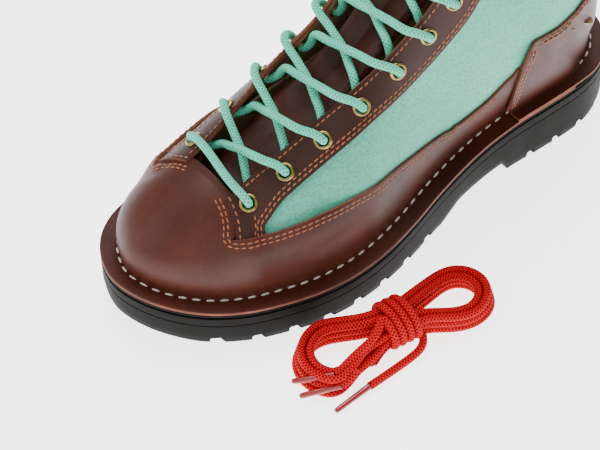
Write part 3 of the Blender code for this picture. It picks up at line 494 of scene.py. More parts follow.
def section(side, v, g):
    """Points of the section through one station of the last, mm."""
    v, g = np.broadcast_arrays(np.asarray(v, float), np.asarray(g, float))
    low = feather(side, v)
    seam = v > HEEL_STATION
    base = np.stack([np.where(seam, 0, low[..., 0]), np.where(seam, back_y(v), low[..., 1]),
                     np.where(seam, back_z(v), welt_z(low[..., 1]) + FOOT)], -1)
    station = np.maximum(v, 1.0)
    top = np.stack([r(station) for r in ridge], -1)
    toe = v < 1
    axis = top[..., 0] * (1 - ease(v, 7, HEEL_STATION))
    reach = np.where(toe, 1.0, np.abs(base[..., 0] - axis))
    first = abs(float(feather(side, 1.0)[0]) - RIDGE_X[0]) / float(half_width[side](1.0))
    width = np.where(toe, 1 / first, np.maximum(half_width[side](station), reach * 1.003))
    ratio = np.clip(reach / width, 0, 1)
    start = np.arcsin(ratio)
    angle = start + g * (math.pi - start)
    below = angle < math.pi / 2
    low_part = widest_at(station) * np.clip((1 - ratio) / 0.03, 0, 1) ** 0.5
    level = np.cos(angle) / np.maximum(np.cos(start), 1e-6)
    rise = np.where(below, low_part * (1 - np.clip(level, 0, 1)),
                    low_part + (1 - low_part) * np.abs(np.cos(angle)) ** squareness(station))
    across = width * np.sin(angle)
    centre = axis + (top[..., 0] - axis) * rise
    points = base + (top - base) * rise[..., None]
    points[..., 0] = centre + side * across
    if np.any(toe):
        fan = top + (base - top) * across[..., None]
        fan[..., 2] = (base[..., 2] + (top[..., 2] - base[..., 2]) * rise
                       + TOE_SLOPE * (fan[..., 1] - top[..., 1]) * rise**2)
        points = np.where(toe[..., None], fan, points)
    return points


def surface(side, v, g):
    """Points of the upper's surface, mm.  The sections turn from the feather line to the back seam
    at the heel, and above the heel the stations on both sides of that turn are faired together."""
    v, g = np.broadcast_arrays(np.asarray(v, float), np.asarray(g, float))
    points = section(side, v, g)
    t = (v - (HEEL_STATION - FAIRING)) / (2 * FAIRING)
    turn = (t > 0) & (t < 1)
    if not np.any(turn):
        return points
    span, part, rise = 2 * FAIRING, t[turn][:, None], g[turn]
    first, last = HEEL_STATION - FAIRING, HEEL_STATION + FAIRING
    ends = [section(side, np.full(rise.shape, at), rise) for at in (first, last)]
    before = section(side, np.full(rise.shape, first - 0.2), rise)
    after = section(side, np.full(rise.shape, last + 0.2), rise)
    rates = (ends[0] - before) * span / 0.2, (after - ends[1]) * span / 0.2
    faired = ((2 * part**3 - 3 * part**2 + 1) * ends[0] + (part**3 - 2 * part**2 + part) * rates[0]
              + (3 * part**2 - 2 * part**3) * ends[1] + (part**3 - part**2) * rates[1])
    share = ease(rise, 0.03, 0.30)[:, None]
    points[turn] = points[turn] * (1 - share) + faired * share
    return points


def normal(side, v, g, reach=0.03):
    """Outward unit normal of the surface; near the foot it is kept from pointing down."""
    v, g = np.broadcast_arrays(np.asarray(v, float), np.asarray(g, float))
    g_low, g_high = np.clip(g - 0.015, 0, 0.97), np.clip(g + 0.015, 0.01, 0.985)
    v_low, v_high = np.maximum(v - reach, 0), np.minimum(v + reach, 15)
    g_mid = np.clip(g, 0.0, 0.98)
    along = surface(side, v_high, g_mid) - surface(side, v_low, g_mid)
    up = surface(side, v, g_high) - surface(side, v, g_low)
    out = np.cross(along, up) * side
    out[..., 2] = np.where(out[..., 2] < 0, out[..., 2] * ease(g, 0.02, 0.15), out[..., 2])
    return out / np.maximum(np.linalg.norm(out, axis=-1, keepdims=True), 1e-9)


def skin(side, v, g, lift):
    """Points at a lift outside the surface, mm; the two sides share one normal on the ridge and
    on the toe and heel centre lines."""
    v, g = np.broadcast_arrays(np.asarray(v, float), np.asarray(g, float))
    out = normal(side, v, g)
    other = normal(-side, v, g)
    centre = np.maximum(ease(g, 0.93, 1.0), np.where(v < 0.08, 1.0 - v / 0.08, 0))
    centre = np.maximum(centre, (1 - ease(g, 0, 0.04)) * ease(v, 8.8, 9.0))
    mean = (out + other) / 2
    out = out + (mean - out) * centre[..., None]
    out /= np.maximum(np.linalg.norm(out, axis=-1, keepdims=True), 1e-9)
    return surface(side, v, g) + out * np.asarray(lift, float)[..., None]


# %% Seam lines
def heights(side, v, count=60):
    """Distances up the section at one station, for evenly spaced g."""
    points = surface(side, np.full(count, float(v)), np.linspace(0, 1, count))
    return np.r_[0, np.cumsum(np.linalg.norm(np.diff(points, axis=0), axis=1))]


def g_at(side, v, mm, from_ridge=False):
    """The g of places that lie mm above the feather line, or below the ridge."""
    v, mm = np.broadcast_arrays(np.asarray(v, float), np.asarray(mm, float))
    g = np.empty(v.shape)
    for station in np.unique(v):
        rise = heights(side, station)
        here = v == station
        wanted = rise[-1] - mm[here] if from_ridge else mm[here]
        g[here] = np.interp(wanted, rise, np.linspace(0, 1, len(rise)))
    return g


def mm_at(side, v, g):
    """Distance above the feather line at (v, g)."""
    v, g = np.broadcast_arrays(np.asarray(v, float), np.asarray(g, float))
    mm = np.empty(v.shape)
    for station in np.unique(v):
        rise = heights(side, station)
        here = v == station
        mm[here] = np.interp(g[here], np.linspace(0, 1, len(rise)), rise)
    return mm


eye_mm = {side: line(EYE_LINE[side]) for side, _ in SIDES}
stay_mm, wrap_mm, counter_mm = line(EYE_TO_STAY_EDGE), line(WRAP_EDGE), line(COUNTER_EDGE)


def eye_line(side, v):
    return g_at(side, v, eye_mm[side](v), True)


def throat(side, v, inside=0.0):
    return g_at(side, v, eye_mm[side](v) - EYE_TO_THROAT + inside, True)


def stay_edge(side, v, below=0.0):
    return g_at(side, v, eye_mm[side](v) + stay_mm(v) + below, True)


def wrap_edge(side, v, below=0.0):
    return g_at(side, v, wrap_mm(v) - below)


TURN_FROM, TURN_TO = 7.65, 10.4    # stations between which the counter's edge rounds the heel


def counter_edge(side, v):
    """The counter's top edge; where the sections turn at the heel it climbs evenly in height."""
    v = np.asarray(v, float)
    g = g_at(side, v, counter_mm(v))
    for at in np.unique(v[(v > TURN_FROM) & (v < TURN_TO)]):
        ends = np.array((TURN_FROM, TURN_TO))
        start, stop = surface(side, ends, g_at(side, ends, counter_mm(ends)))
        rise = surface(side, np.full(60, at), np.linspace(0, 0.75, 60))
        part = np.clip((rise[40, 1] - start[1]) / (stop[1] - start[1]), 0, 1)
        wanted = start[2] + (stop[2] - start[2]) * part
        g[v == at] = np.interp(wanted, np.maximum.accumulate(rise[:, 2]), np.linspace(0, 0.75, 60))
    return g


def under_counter(side, v, g):
    """How far below the counter's edge a place is, in mm."""
    return mm_at(side, v, counter_edge(side, v)) - mm_at(side, v, g)


def ridge_line(side, v):
    return np.ones(np.shape(v))


def seam_line(side, v):
    return np.zeros(np.shape(v))

# %% [markdown]
# ## Sheets of leather
# A panel is a fine grid of points between two seam lines.  Solidify gives it the thickness of the hide, on
# the outside, and paints its flesh side and its rim with their own materials, and a small Bevel rounds the
# rim as an edge tool does.  All modifiers are applied, so the piece is a plain closed mesh.


# %% Sheet helper
def selected(thing):
    bpy.ops.object.select_all(action="DESELECT")
    thing.select_set(True)
    bpy.context.view_layer.objects.active = thing
    return thing


def apply_all(thing):
    selected(thing)
    for modifier in list(thing.modifiers):
        bpy.ops.object.modifier_apply(modifier=modifier.name)
    return thing


def dense(low, high, step=0.05):
    """Even stations, close enough for a smooth panel."""
    return np.linspace(low, high, max(4, int(round((high - low) / step)) + 1))


class Sheet:
    """Grids of points on the upper that together make one open sheet of leather."""

    def __init__(self):
        self.work = bmesh.new()

    def grid(self, rows, side):
        rows = np.asarray(rows, float)
        corners = [[self.work.verts.new(Vector(p) * MM) for p in row] for row in rows]
        for near, far in zip(corners, corners[1:]):
            for a, b, c, d in zip(near, far, far[1:], near[1:]):
                self.work.faces.new((a, b, c, d) if side > 0 else (d, c, b, a))

    def panel(self, side, stations, low, high, rows, lift):
        v = np.asarray(stations, float)
        ends = low(side, v)[:, None], high(side, v)[:, None]
        v = np.repeat(v[:, None], rows, 1)
        g = ends[0] + (ends[1] - ends[0]) * np.linspace(0, 1, rows)[None, :]
        rise = lift(side, v, g) if callable(lift) else np.full(v.shape, float(lift))
        self.grid(skin(side, v, g, rise), side)

    def finish(self, name, materials, thickness, round_edge=0.45, cutters=None, smoothing=0):
        bmesh.ops.remove_doubles(self.work, verts=self.work.verts, dist=3e-5)
        empty = [f for f in self.work.faces if f.calc_area() < 1e-11]
        bmesh.ops.delete(self.work, geom=empty, context="FACES")
        mesh = bpy.data.meshes.new(name)
        self.work.to_mesh(mesh)
        self.work.free()
        piece = bpy.data.objects.new(name, mesh)
        bpy.context.scene.collection.objects.link(piece)
        outside, rim, inside = (*materials, materials[0])[:3]
        for material in (outside, inside, rim):
            mesh.materials.append(material)
        if smoothing:
            rounder = piece.modifiers.new("smooth", "SUBSURF")
            rounder.levels = rounder.render_levels = smoothing
            rounder.boundary_smooth = "PRESERVE_CORNERS"
        shell = piece.modifiers.new("hide", "SOLIDIFY")
        shell.thickness, shell.offset, shell.use_even_offset = thickness * MM, 1, False
        shell.material_offset, shell.material_offset_rim = 1, 2
        if cutters:
            holes = piece.modifiers.new("holes", "BOOLEAN")
            holes.operation, holes.solver, holes.object = "DIFFERENCE", "EXACT", cutters
        if round_edge:
            bevel = piece.modifiers.new("rounded rim", "BEVEL")
            bevel.width, bevel.segments = round_edge * MM, 2
            bevel.limit_method, bevel.angle_limit = "ANGLE", math.radians(55)
        apply_all(piece)
        bpy.ops.object.shade_smooth_by_angle(angle=math.radians(50))
        print(name, len(piece.data.polygons), "faces")
        return piece


def slot_and_body(piece, body, slot, *nodes):
    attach(piece, body)
    if nodes:
        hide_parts(*nodes)
    return piece


# %% [markdown]
# ## Laces
# The laces come first, because everything else makes room for them.  A lace is swept as a round tube with a
# UV map in real units, so that its braid keeps one size whatever way it bends.  The lacing runs from the
# bottom bar up through seven pairs of eyelets, and its tails are tucked down inside the lining.


# %% Tube helper
def rounded(points, spacing):
    """Points along a smooth curve through the route's own points, which stay in it."""
    points = np.asarray(points, float)
    along = np.r_[0, np.cumsum(np.linalg.norm(np.diff(points, axis=0), axis=1))]
    at = [0.0]
    for a, b in zip(along, along[1:]):
        steps = max(1, math.ceil((b - a) / spacing))
        at += [a + (b - a) * (k + 1) / steps for k in range(steps)]
    return np.stack([smooth(along, points[:, k])(at) for k in range(3)], 1)


def relaxed(path, rounds):
    """The path with its kinks evened out; its two ends stay."""
    for _ in range(rounds):
        path = np.vstack([path[:1], (path[:-2] + 2 * path[1:-1] + path[2:]) / 4, path[-1:]])
    return path


def sweep(name, path, radius, material, sides=12, closed_ends=True):
    """A tube of rings carried along the path without twisting; radius is one number or one a point."""
    path = np.asarray(path, float)
    radius = np.broadcast_to(np.asarray(radius, float), len(path))
    run = np.gradient(path, axis=0)
    run /= np.linalg.norm(run, axis=1)[:, None]
    across = np.cross(run[0], (0, 0, 1) if abs(run[0][2]) < 0.9 else (1, 0, 0))
    work = bmesh.new()
    layer = work.loops.layers.uv.new("run")
    rings, travelled = [], np.r_[0, np.cumsum(np.linalg.norm(np.diff(path, axis=0), axis=1))]
    turn = np.linspace(0, 2 * math.pi, sides, endpoint=False)
    for point, direction, size in zip(path, run, radius):
        across = across - direction * (across @ direction)
        across /= np.linalg.norm(across)
        up = np.cross(direction, across)
        ring = point + size * (np.cos(turn)[:, None] * across + np.sin(turn)[:, None] * up)
        rings.append([work.verts.new(Vector(p) * MM) for p in ring])
    for i in range(len(rings) - 1):
        for j in range(sides):
            k = (j + 1) % sides
            face = work.faces.new((rings[i][j], rings[i][k], rings[i + 1][k], rings[i + 1][j]))
            face.smooth = True
            spots = ((i, j), (i, j + 1), (i + 1, j + 1), (i + 1, j))
            for loop, (a, b) in zip(face.loops, spots):
                loop[layer].uv = (travelled[a] * MM, b / sides)
    if closed_ends:
        work.faces.new(rings[0][::-1])
        work.faces.new(rings[-1])
    bmesh.ops.recalc_face_normals(work, faces=work.faces)
    mesh = bpy.data.meshes.new(name)
    work.to_mesh(mesh)
    work.free()
    piece = bpy.data.objects.new(name, mesh)
    bpy.context.scene.collection.objects.link(piece)
    mesh.materials.append(material)
    return piece


def length_of(path):
    return float(np.linalg.norm(np.diff(path, axis=0), axis=1).sum()) * MM


def aglet(name, root, tip, material, body):
    """A film sleeve shrunk on the end of a lace, a little narrower at its tip."""
    root, tip = np.asarray(root, float), np.asarray(tip, float)
    share = np.array([0, 0.01, 0.04, 0.5, 0.9, 0.97, 1.0])
    radius = np.array([1.55, 1.75, 1.7, 1.55, 1.5, 1.3, 0.9])
    piece = sweep(name, root + (tip - root) * share[:, None], radius, material, 14)
    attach(piece, body)
    return piece


# %% [markdown]
# ## The spare laces
# A spare pair is sold folded into a hank: long loops laid on each other, and one end wound round the middle
# to hold them.  Each loop is a stretched ring, pinched at the waist.  The first lace makes four loops, four
# turns round the waist and a loose tail, and the second makes two loops on top.

# %% Spare laces
HANK_ENDS = np.array(((75.0, -105.0), (91.0, -2.0)))
WAIST_AT = -1.0            # the waist's place along the hank from its middle
hank_middle = HANK_ENDS.mean(axis=0)
hank_way = (HANK_ENDS[1] - HANK_ENDS[0]) / np.linalg.norm(HANK_ENDS[1] - HANK_ENDS[0])
hank_out = np.array((hank_way[1], -hank_way[0]))
HANK_TURN_R = {1: (15.0, 11.0), -1: (18.5, 14.0)}   # outer and inner loops, at the heel and the toe end


def hank_point(s, t, z):
    return np.array((*(hank_middle + hank_way * s + hank_out * t), z))


def waist_share(s):
    return 1 - ease(abs(s - WAIST_AT), 5, 36)


def loop_route(ring, level, lane, drop=0.0):
    """Points of one stretched loop, starting at the toe end and going up its outer side."""
    points = []
    for end, start_side in ((1, 1), (-1, -1)):
        turn_r = HANK_TURN_R[end][ring] - level * 0.6
        reach = end * (53.5 - ring * 4.4 - level * 1.2 - turn_r)
        for s in np.linspace(-reach * 0.82, reach, 7)[1:]:
            near = waist_share(s)
            wide = HANK_TURN_R[1 if s > 0 else -1][ring] * (1 - near) + lane * near
            height = 2.2 + 4.25 * level + near * 4.4
            points.append(hank_point(s, start_side * wide, height))
        for angle in np.linspace(0, math.pi, 7)[1:-1]:
            lift = drop * (1 - math.cos(angle)) / 2 if end < 0 else 0
            points.append(hank_point(reach + end * turn_r * math.sin(angle),
                                     start_side * turn_r * math.cos(angle), 2.2 + 4.25 * level + lift))
    return points


def wrap_route(turns, start_s, pitch):
    """The binding turns, round the bundle at the waist."""
    points = []
    for k in range(turns * 12 + 1):
        angle = math.pi * 0.5 - 2 * math.pi * k / 12
        s = start_s + pitch * k / 12
        points.append(hank_point(s, 11.6 * math.cos(angle), 11.6 + 9.4 * math.sin(angle)))
    return points


route = []
for ring, level, lane in ((0, 0, 6.4), (1, 0, 2.15), (0, 1, 6.4), (1, 1, 2.15)):
    route += loop_route(ring, level, lane, 4.25 if ring else 0.0)
route += [hank_point(-30, 9, 14), hank_point(-14, 6, 19)]
route += wrap_route(4, -8.0, 4.35)[:-3]
tail_root = np.array((99.2, -84.0, 2.6))
route += [hank_point(7, 15, 4.6), hank_point(-6, 17.5, 2.6), hank_point(-20, 19.5, 2.3),
          tail_root + (0.2, 4.0, 0.0), tail_root]
first_path = relaxed(rounded(route, 1.6), 14)
first_lace = sweep("spare_lace_long", first_path, LACE_D / 2, RED_BRAID)
start_aglet = aglet("spare_aglet_start", first_path[0], first_path[0] + (-9.0, -17.5, 0.4), RED_AGLET,
                    "spare_laces")
tail_aglet = aglet("spare_aglet_tail", tail_root, (99.6, -106.0, 2.0), RED_AGLET, "spare_laces")
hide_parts("spare_lace_aglet")
slot_and_body(first_lace, "spare_laces", "red_lace", "spare_lace_hank")

inner_root, outer_root = hank_point(-42, 12, 11.6), hank_point(-41, 16.5, 7.6)
route = [inner_root, hank_point(-34, 10.5, 11.4), hank_point(-20, 7.5, 13.0)]
for ring, lane in ((0, 6.4), (1, 2.15)):
    route += loop_route(ring, 2, lane)[1 if ring else 3:]
route += [hank_point(-30, 16, 11.5), hank_point(-36, 16.5, 9.5), outer_root]
second_path = relaxed(rounded(route, 1.6), 14)
second_lace = sweep("spare_lace_short", second_path, LACE_D / 2, RED_BRAID)
second_aglets = [
    aglet("spare_aglet_inner", inner_root, inner_root + (-12.0, -16.5, -3.5), RED_AGLET, "spare_laces"),
    aglet("spare_aglet_outer", outer_root, outer_root + (-10.0, -17.5, -3.8), RED_AGLET, "spare_laces")]
slot_and_body(second_lace, "spare_laces", "red_lace")

# %% [markdown]
# ## The boot's own lace
# The lace starts as a bar across the lowest pair of eyelets.  Each half goes down its eyelet, runs under
# the facing, and climbs across the tongue to the next eyelet on the other side.

# %% Lacing route
LIFT = {"lining": -5.6, "stiffener": -2.8, "quarter": 0.0, "stay": 1.45}
STRAND_TOP, STRAND_LOW = 3.3, -0.4
TAIL_STEPS = 8


def by_eye(side, v, toward_throat, lift):
    """A point beside the line of eyelets, some mm towards the throat."""
    return skin(side, v, g_at(side, v, eye_mm[side](v) - toward_throat, True), lift)


def gap_point(v, t, lift):
    """A point between the throat edges: t is +1 at the outer edge and -1 at the inner one."""
    v, t = np.broadcast_arrays(np.asarray(v, float), np.asarray(t, float))
    ends = [skin(side, v, throat(side, v), 0 * v + lift) for side, _ in SIDES]
    middle = (surface(1, v, throat(1, v)) + surface(-1, v, throat(-1, v))) / 2
    middle = middle + normal(1, v, 0 * v + 0.975) * lift
    part = np.abs(t)[..., None]
    return middle * (1 - part) + np.where((t >= 0)[..., None], ends[0], ends[1]) * part


def lace_route():
    over = 1.8 + LEATHER + LACE_D / 2 + 1.0
    under = -LACE_D / 2 - 1.6
    through = (over - 1.2, 1.5, -1.9)
    halves = []
    for side, _ in SIDES:
        v = EYELETS[side][0]
        points = [by_eye(side, v - 0.02, 9.5, over - 0.8), by_eye(side, v, 3.4, over)]
        points += [by_eye(side, v, 0, x) for x in through]
        for i in range(len(EYELETS[side]) - 1):
            v0, v1 = EYELETS[side][i], EYELETS[-side][i + 1]
            out, back_in = v0 + 0.30, v1 - 0.17
            start = by_eye(side, out, EYE_TO_THROAT + 2.6, under + 0.2)
            end = by_eye(-side, back_in, EYE_TO_THROAT + 2.0, over - 0.1)
            centre = gap_point((out + back_in) / 2, 0.0, STRAND_TOP if side < 0 else STRAND_LOW)
            points += [by_eye(side, v0 + 0.12, 3.4, under), start, start * 0.45 + centre * 0.55, centre,
                       end * 0.45 + centre * 0.55, end, by_eye(-side, v1 - 0.02, 3.3, over + 0.1)]
            points += [by_eye(-side, v1, 0, x) for x in through]
            side = -side
        inside = LIFT["lining"] - LACE_D / 2 - 0.9
        v = EYELETS[side][-1]
        points += [by_eye(side, v + 0.10, -4.0, -4.0), by_eye(side, v + 0.22, -10, inside + 0.6)]
        points += [by_eye(side, v + 0.3 + 0.1 * k, -17 - 8 * k, inside) for k in range(TAIL_STEPS)]
        points += [by_eye(side, v + 0.3 + 0.1 * TAIL_STEPS, -17 - 8 * TAIL_STEPS, inside - 1.6)]
        halves.append(points)
    return halves


outer_half, inner_half = lace_route()
lace_path = rounded(outer_half[::-1] + inner_half, 1.2)
lace = sweep("boot_lace", lace_path, LACE_D / 2, MINT_BRAID, 14)
slot_and_body(lace, "boot", "mint_lace", "lace")
for half, (_, word) in zip((outer_half, inner_half), SIDES):
    run = (half[-1] - half[-2]) / np.linalg.norm(half[-1] - half[-2])
    end = aglet("boot_aglet_" + word, half[-1], half[-1] + run * 21, CLEAR_AGLET, "boot")
    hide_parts("lace_aglet_" + word)
print("boot lace", round(length_of(lace_path), 3), "m")

# %% [markdown]
# ## Stitches
# One stitch is modelled: a short ball of thread, stretched, with its ends bent down into the
# needle holes.  A row is that stitch laid along a seam at an even pitch.  All stitches of a row are one
# mesh, which keeps the scene light.

# %% One stitch, and rows of it
bpy.ops.mesh.primitive_uv_sphere_add(segments=8, ring_count=6, radius=1.0, rotation=(0, math.pi / 2, 0))
stitch = bpy.context.object
bpy.ops.object.transform_apply(location=False, rotation=True, scale=True)
stitch.name = "stitch_model"
STITCH_POINTS = np.array([tuple(c.co) for c in stitch.data.vertices])
STITCH_FACES = [tuple(f.vertices) for f in stitch.data.polygons]
bpy.data.objects.remove(stitch)
STITCH_POINTS[:, 2] -= 0.9 * np.abs(STITCH_POINTS[:, 0]) ** 3


def stitch_rows(name, rows, material, pitch, length, thick, body="boot", slot_name="brown_leather",
                lean=0.06):
    """Rows are (points, normals) pairs along a seam, in millimetres."""
    corners, faces = [], []
    for path, out in rows:
        along = np.r_[0, np.cumsum(np.linalg.norm(np.diff(path, axis=0), axis=1))]
        count = max(1, int(along[-1] / pitch))
        at = (np.arange(count) + 0.5) * along[-1] / count
        place = np.stack([np.interp(at, along, path[:, k]) for k in range(3)], 1)
        ahead = np.stack([np.interp(at + 0.8, along, path[:, k]) for k in range(3)], 1)
        behind = np.stack([np.interp(at - 0.8, along, path[:, k]) for k in range(3)], 1)
        up = np.stack([np.interp(at, along, out[:, k]) for k in range(3)], 1)
        run = ahead - behind
        run /= np.linalg.norm(run, axis=1)[:, None]
        up -= run * np.sum(up * run, axis=1)[:, None]
        up /= np.linalg.norm(up, axis=1)[:, None]
        across = np.cross(up, run)
        run = run + across * lean
        for p, x, y, z in zip(place, run, across, up):
            start = len(corners)
            corners += list(p + STITCH_POINTS[:, :1] * x * length / 2 + STITCH_POINTS[:, 1:2] * y * thick
                            + STITCH_POINTS[:, 2:] * z * thick)
            faces += [tuple(start + i for i in face) for face in STITCH_FACES]
    mesh = bpy.data.meshes.new(name)
    mesh.from_pydata([tuple(c * MM) for c in corners], [], faces)
    for face in mesh.polygons:
        face.use_smooth = True
    piece = bpy.data.objects.new(name, mesh)
    bpy.context.scene.collection.objects.link(piece)
    mesh.materials.append(material)
    print(name, len(corners) // len(STITCH_POINTS), "stitches")
    return slot_and_body(piece, body, slot_name)


# %% [markdown]
# ## The vamp
# The vamp is one piece of leather with the toe, the side wraps and the flange that is turned out and
# sewn to the sole.  It lies on the block, and rises over the quarter and the facing where it laps them.

# %% Vamp
OVER_QUARTER = 1.5
OVER_STAY = 3.1
TURN_UP = 5.0              # the flange turns up into the wall over this distance


def foot_line(side, v):
    return g_at(side, v, TURN_UP * 0.6 * (1 - ease(v, 8.4, HEEL_STATION)))


def flange(side, stations, height, wall_lift):
    """Rows from the welt's edge in, and round the turn up to the foot of the wall."""
    v = np.asarray(stations, float)
    g = foot_line(side, v)
    wall = wall_lift(side, v, g)
    edge, root = feather(side, v, 0.2), feather(side, v, FLANGE)
    corner = root + (edge - root) * (wall / FLANGE)[:, None]
    near = corner + (edge - corner) * (TURN_UP * 0.55 / (FLANGE - wall))[:, None]
    rise = height(v)
    at = [np.c_[p, welt_z(p[:, 1]) + rise] for p in (edge, near, corner)]
    rows = [at[0] + (at[1] - at[0]) * t for t in np.linspace(0, 1, 7)]
    top = skin(side, v, g, wall)
    for t in np.linspace(0, 1, 7)[1:]:
        rows.append(at[1] * (1 - t) ** 2 + at[2] * 2 * t * (1 - t) + top * t * t)
    return np.stack(rows, 1)


def wrap_lift(side, v, g):
    high = OVER_QUARTER + (OVER_STAY - OVER_QUARTER) * (1 - ease(v, 2.3, 3.1))
    below = wrap_mm(v) - mm_at(side, v, g)
    return high * (1 - ease(below, LAP - 2, LAP + 20)) * ease(v, 0.62, 0.97) * ease(below, -9, -1)


def apron_lift(side, v, g):
    return wrap_lift(side, np.full(np.shape(v), SLIT), g) * (1 - ease(v, SLIT, 0.94))


def tip_line(side, v):
    return np.full(np.shape(v), float(wrap_edge(side, SLIT)))


def apron_low(side, v):
    return float(wrap_edge(side, SLIT)) + 0.14 * ease(v, SLIT, 1.1)


sheet = Sheet()
toe = np.linspace(0, SLIT, 36)
wrap = np.r_[SLIT, dense(0.8, 7.25)]
apron = np.r_[SLIT, dense(0.8, 1.16, 0.03)]
for side, _ in SIDES:
    sheet.grid(flange(side, np.r_[toe, wrap[1:]], lambda v: 0 * v + 0.35, wrap_lift), side)
    sheet.panel(side, toe, foot_line, tip_line, 22, wrap_lift)
    sheet.panel(side, toe, tip_line, ridge_line, 22, wrap_lift)
    sheet.panel(side, wrap, foot_line, wrap_edge, 22, wrap_lift)
    sheet.panel(side, apron, apron_low, ridge_line, 22, apron_lift)
vamp = sheet.finish("vamp_leather_piece", [VAMP_LEATHER, CUT_EDGE], LEATHER)
slot_and_body(vamp, "boot", "brown_leather", "vamp")

# %% [markdown]
# ## Quarters, facings and the back
# The coloured quarters carry the facings with the eyelets.  Their holes are punched through all layers by
# one cutter.  The counter wraps the heel over everything else, and the back strip closes the seam.

# %% Hole punches


def frame_at(side, v, g, lift):
    """A place on the leather whose Z points straight out of it."""
    out = Vector(normal(side, v, g, 0.3)).normalized()
    return (Matrix.Translation(Vector(skin(side, v, g, lift)) * MM)
            @ out.to_track_quat("Z", "Y").to_matrix().to_4x4())


punches = {}
for side, word in SIDES:
    pieces = []
    for v in EYELETS[side] + HOOKS:
        bpy.ops.mesh.primitive_cylinder_add(vertices=20, radius=(3.3 if v in EYELETS[side] else 1.7) * MM,
                                            depth=14 * MM)
        bpy.context.object.matrix_world = frame_at(side, v, eye_line(side, v), 0.0)
        pieces.append(bpy.context.object)
    bpy.ops.object.select_all(action="DESELECT")
    for piece in pieces:
        piece.select_set(True)
    bpy.context.view_layer.objects.active = pieces[0]
    bpy.ops.object.join()
    bpy.ops.object.transform_apply(location=True, rotation=True, scale=True)
    punches[side] = bpy.context.object

# %% Quarters, facings and linings


def quarter_low(side, v):
    rear = ease(v, 6.2, 7.2)
    mm = wrap_mm(v) * (1 - rear) + mm_at(side, v, counter_edge(side, v)) * rear
    return g_at(side, v, np.maximum(mm - LAP + 4.5 * rear, 1.2))


def facing_low(side, v):
    """The facing's edge: near its tip it spreads out and runs under the vamp's edge."""
    part = ease(v, 1.13, 1.34)
    return wrap_edge(side, v, 4.0) * (1 - part) + stay_edge(side, v) * part


def facing_grid(side):
    """The facing, with its front end slanted into the tip of the slit."""
    v = np.repeat(np.r_[dense(0.98, 1.6, 0.03), dense(1.6, TOP_LINE, 0.07)[1:]][:, None], 18, 1)
    across = np.linspace(0, 1, 18)[None, :]
    v = v - 0.17 * (1 - across) * (1 - ease(v, 0.98, 1.5))
    low, high = facing_low(side, v), throat(side, v)
    return v, low + (high - low) * across


for side, word in SIDES:
    sheet = Sheet()
    sheet.panel(side, dense(0.80, 1.32), lambda s, v: wrap_edge(s, v, 6.0), lambda s, v: throat(s, v, -2.0),
                12, -2.4)
    filler = sheet.finish("under_facing_" + word, [STAY_LEATHER, STAY_LEATHER], 1.2, 0)
    slot_and_body(filler, "boot", "dark_brown_leather")
    sheet = Sheet()
    sheet.panel(side, dense(1.25, TOP_LINE, 0.07), quarter_low, lambda s, v: throat(s, v, 1.5), 34,
                LIFT["quarter"])
    quarter = sheet.finish("quarter_" + word + "_leather", [MINT_LEATHER, CUT_EDGE, TAN_LEATHER], 1.35,
                           0.35, punches[side])
    slot_and_body(quarter, "boot", "mint_leather", "quarter_" + word)
    sheet = Sheet()
    v, g = facing_grid(side)
    sheet.grid(skin(side, v, g, 0 * v + LIFT["stay"]), side)
    stay = sheet.finish("facing_" + word, [STAY_LEATHER, CUT_EDGE, TAN_LEATHER], LEATHER, 0.45, punches[side])
    slot_and_body(stay, "boot", "dark_brown_leather", "lace_stay_" + word)
    sheet = Sheet()
    sheet.panel(side, dense(1.2, 13.2, 0.12), lambda s, v: g_at(s, v, 8.0 - 6.0 * ease(v, 9.0, 9.9)),
                lambda s, v: stay_edge(s, v, 3.0), 20, LIFT["lining"])
    lining = sheet.finish("lining_" + word + "_leather", [TAN_LEATHER, TAN_LEATHER], 1.2, 0.3)
    slot_and_body(lining, "boot", "tan_lining", "lining_" + word)
for cutter in punches.values():
    bpy.data.objects.remove(cutter)

# %% Heel counter and back strip


def counter_lift(side, v, g):
    over_wrap = (OVER_QUARTER + LEATHER + 0.15) * (1 - ease(v, 7.4, 7.9))
    return np.maximum(over_wrap, OVER_QUARTER * (1 - ease(under_counter(side, v, g), LAP, LAP + 14)))


def counter_flange(v):
    return 0.35 + (LEATHER + 0.05) * (1 - ease(v, 7.4, 7.9))


COUNTER_FRONT = np.array((5.95, 6.15, 6.4, 6.7, 7.0, 7.3, 7.55, 7.75, 7.9, 8.05, 8.3, 8.6, 9.0))
COUNTER_REAR = np.array((9.0, 9.45, 9.9, 10.4, 10.9, 11.4, 11.9, 12.35, 12.75))
sheet = Sheet()
for side, _ in SIDES:
    sheet.grid(flange(side, COUNTER_FRONT, counter_flange, counter_lift), side)
    sheet.panel(side, COUNTER_FRONT, foot_line, counter_edge, 8, counter_lift)
    sheet.panel(side, COUNTER_REAR, seam_line, counter_edge, 8, counter_lift)
counter = sheet.finish("heel_counter_leather", [VAMP_LEATHER, CUT_EDGE, TAN_LEATHER], LEATHER, smoothing=2)
slot_and_body(counter, "boot", "brown_leather", "heel_counter")

sheet = Sheet()
for side, _ in SIDES:
    sheet.panel(side, dense(13.0, TOP_LINE), seam_line, lambda s, v: g_at(s, v, 11.0 + 0 * v), 8,
                OVER_QUARTER)
strip = sheet.finish("back_strip_leather", [STAY_LEATHER, CUT_EDGE, TAN_LEATHER], 1.3)
slot_and_body(strip, "boot", "dark_brown_leather", "backstay")

# %% [markdown]
# ## Seam stitching
# Two rows of tan thread hold each lapped edge, and one row follows the throat.  A row keeps its distance
# from the edge along the leather, so the edge's line is moved sideways on the surface.

# %% Rows beside an edge


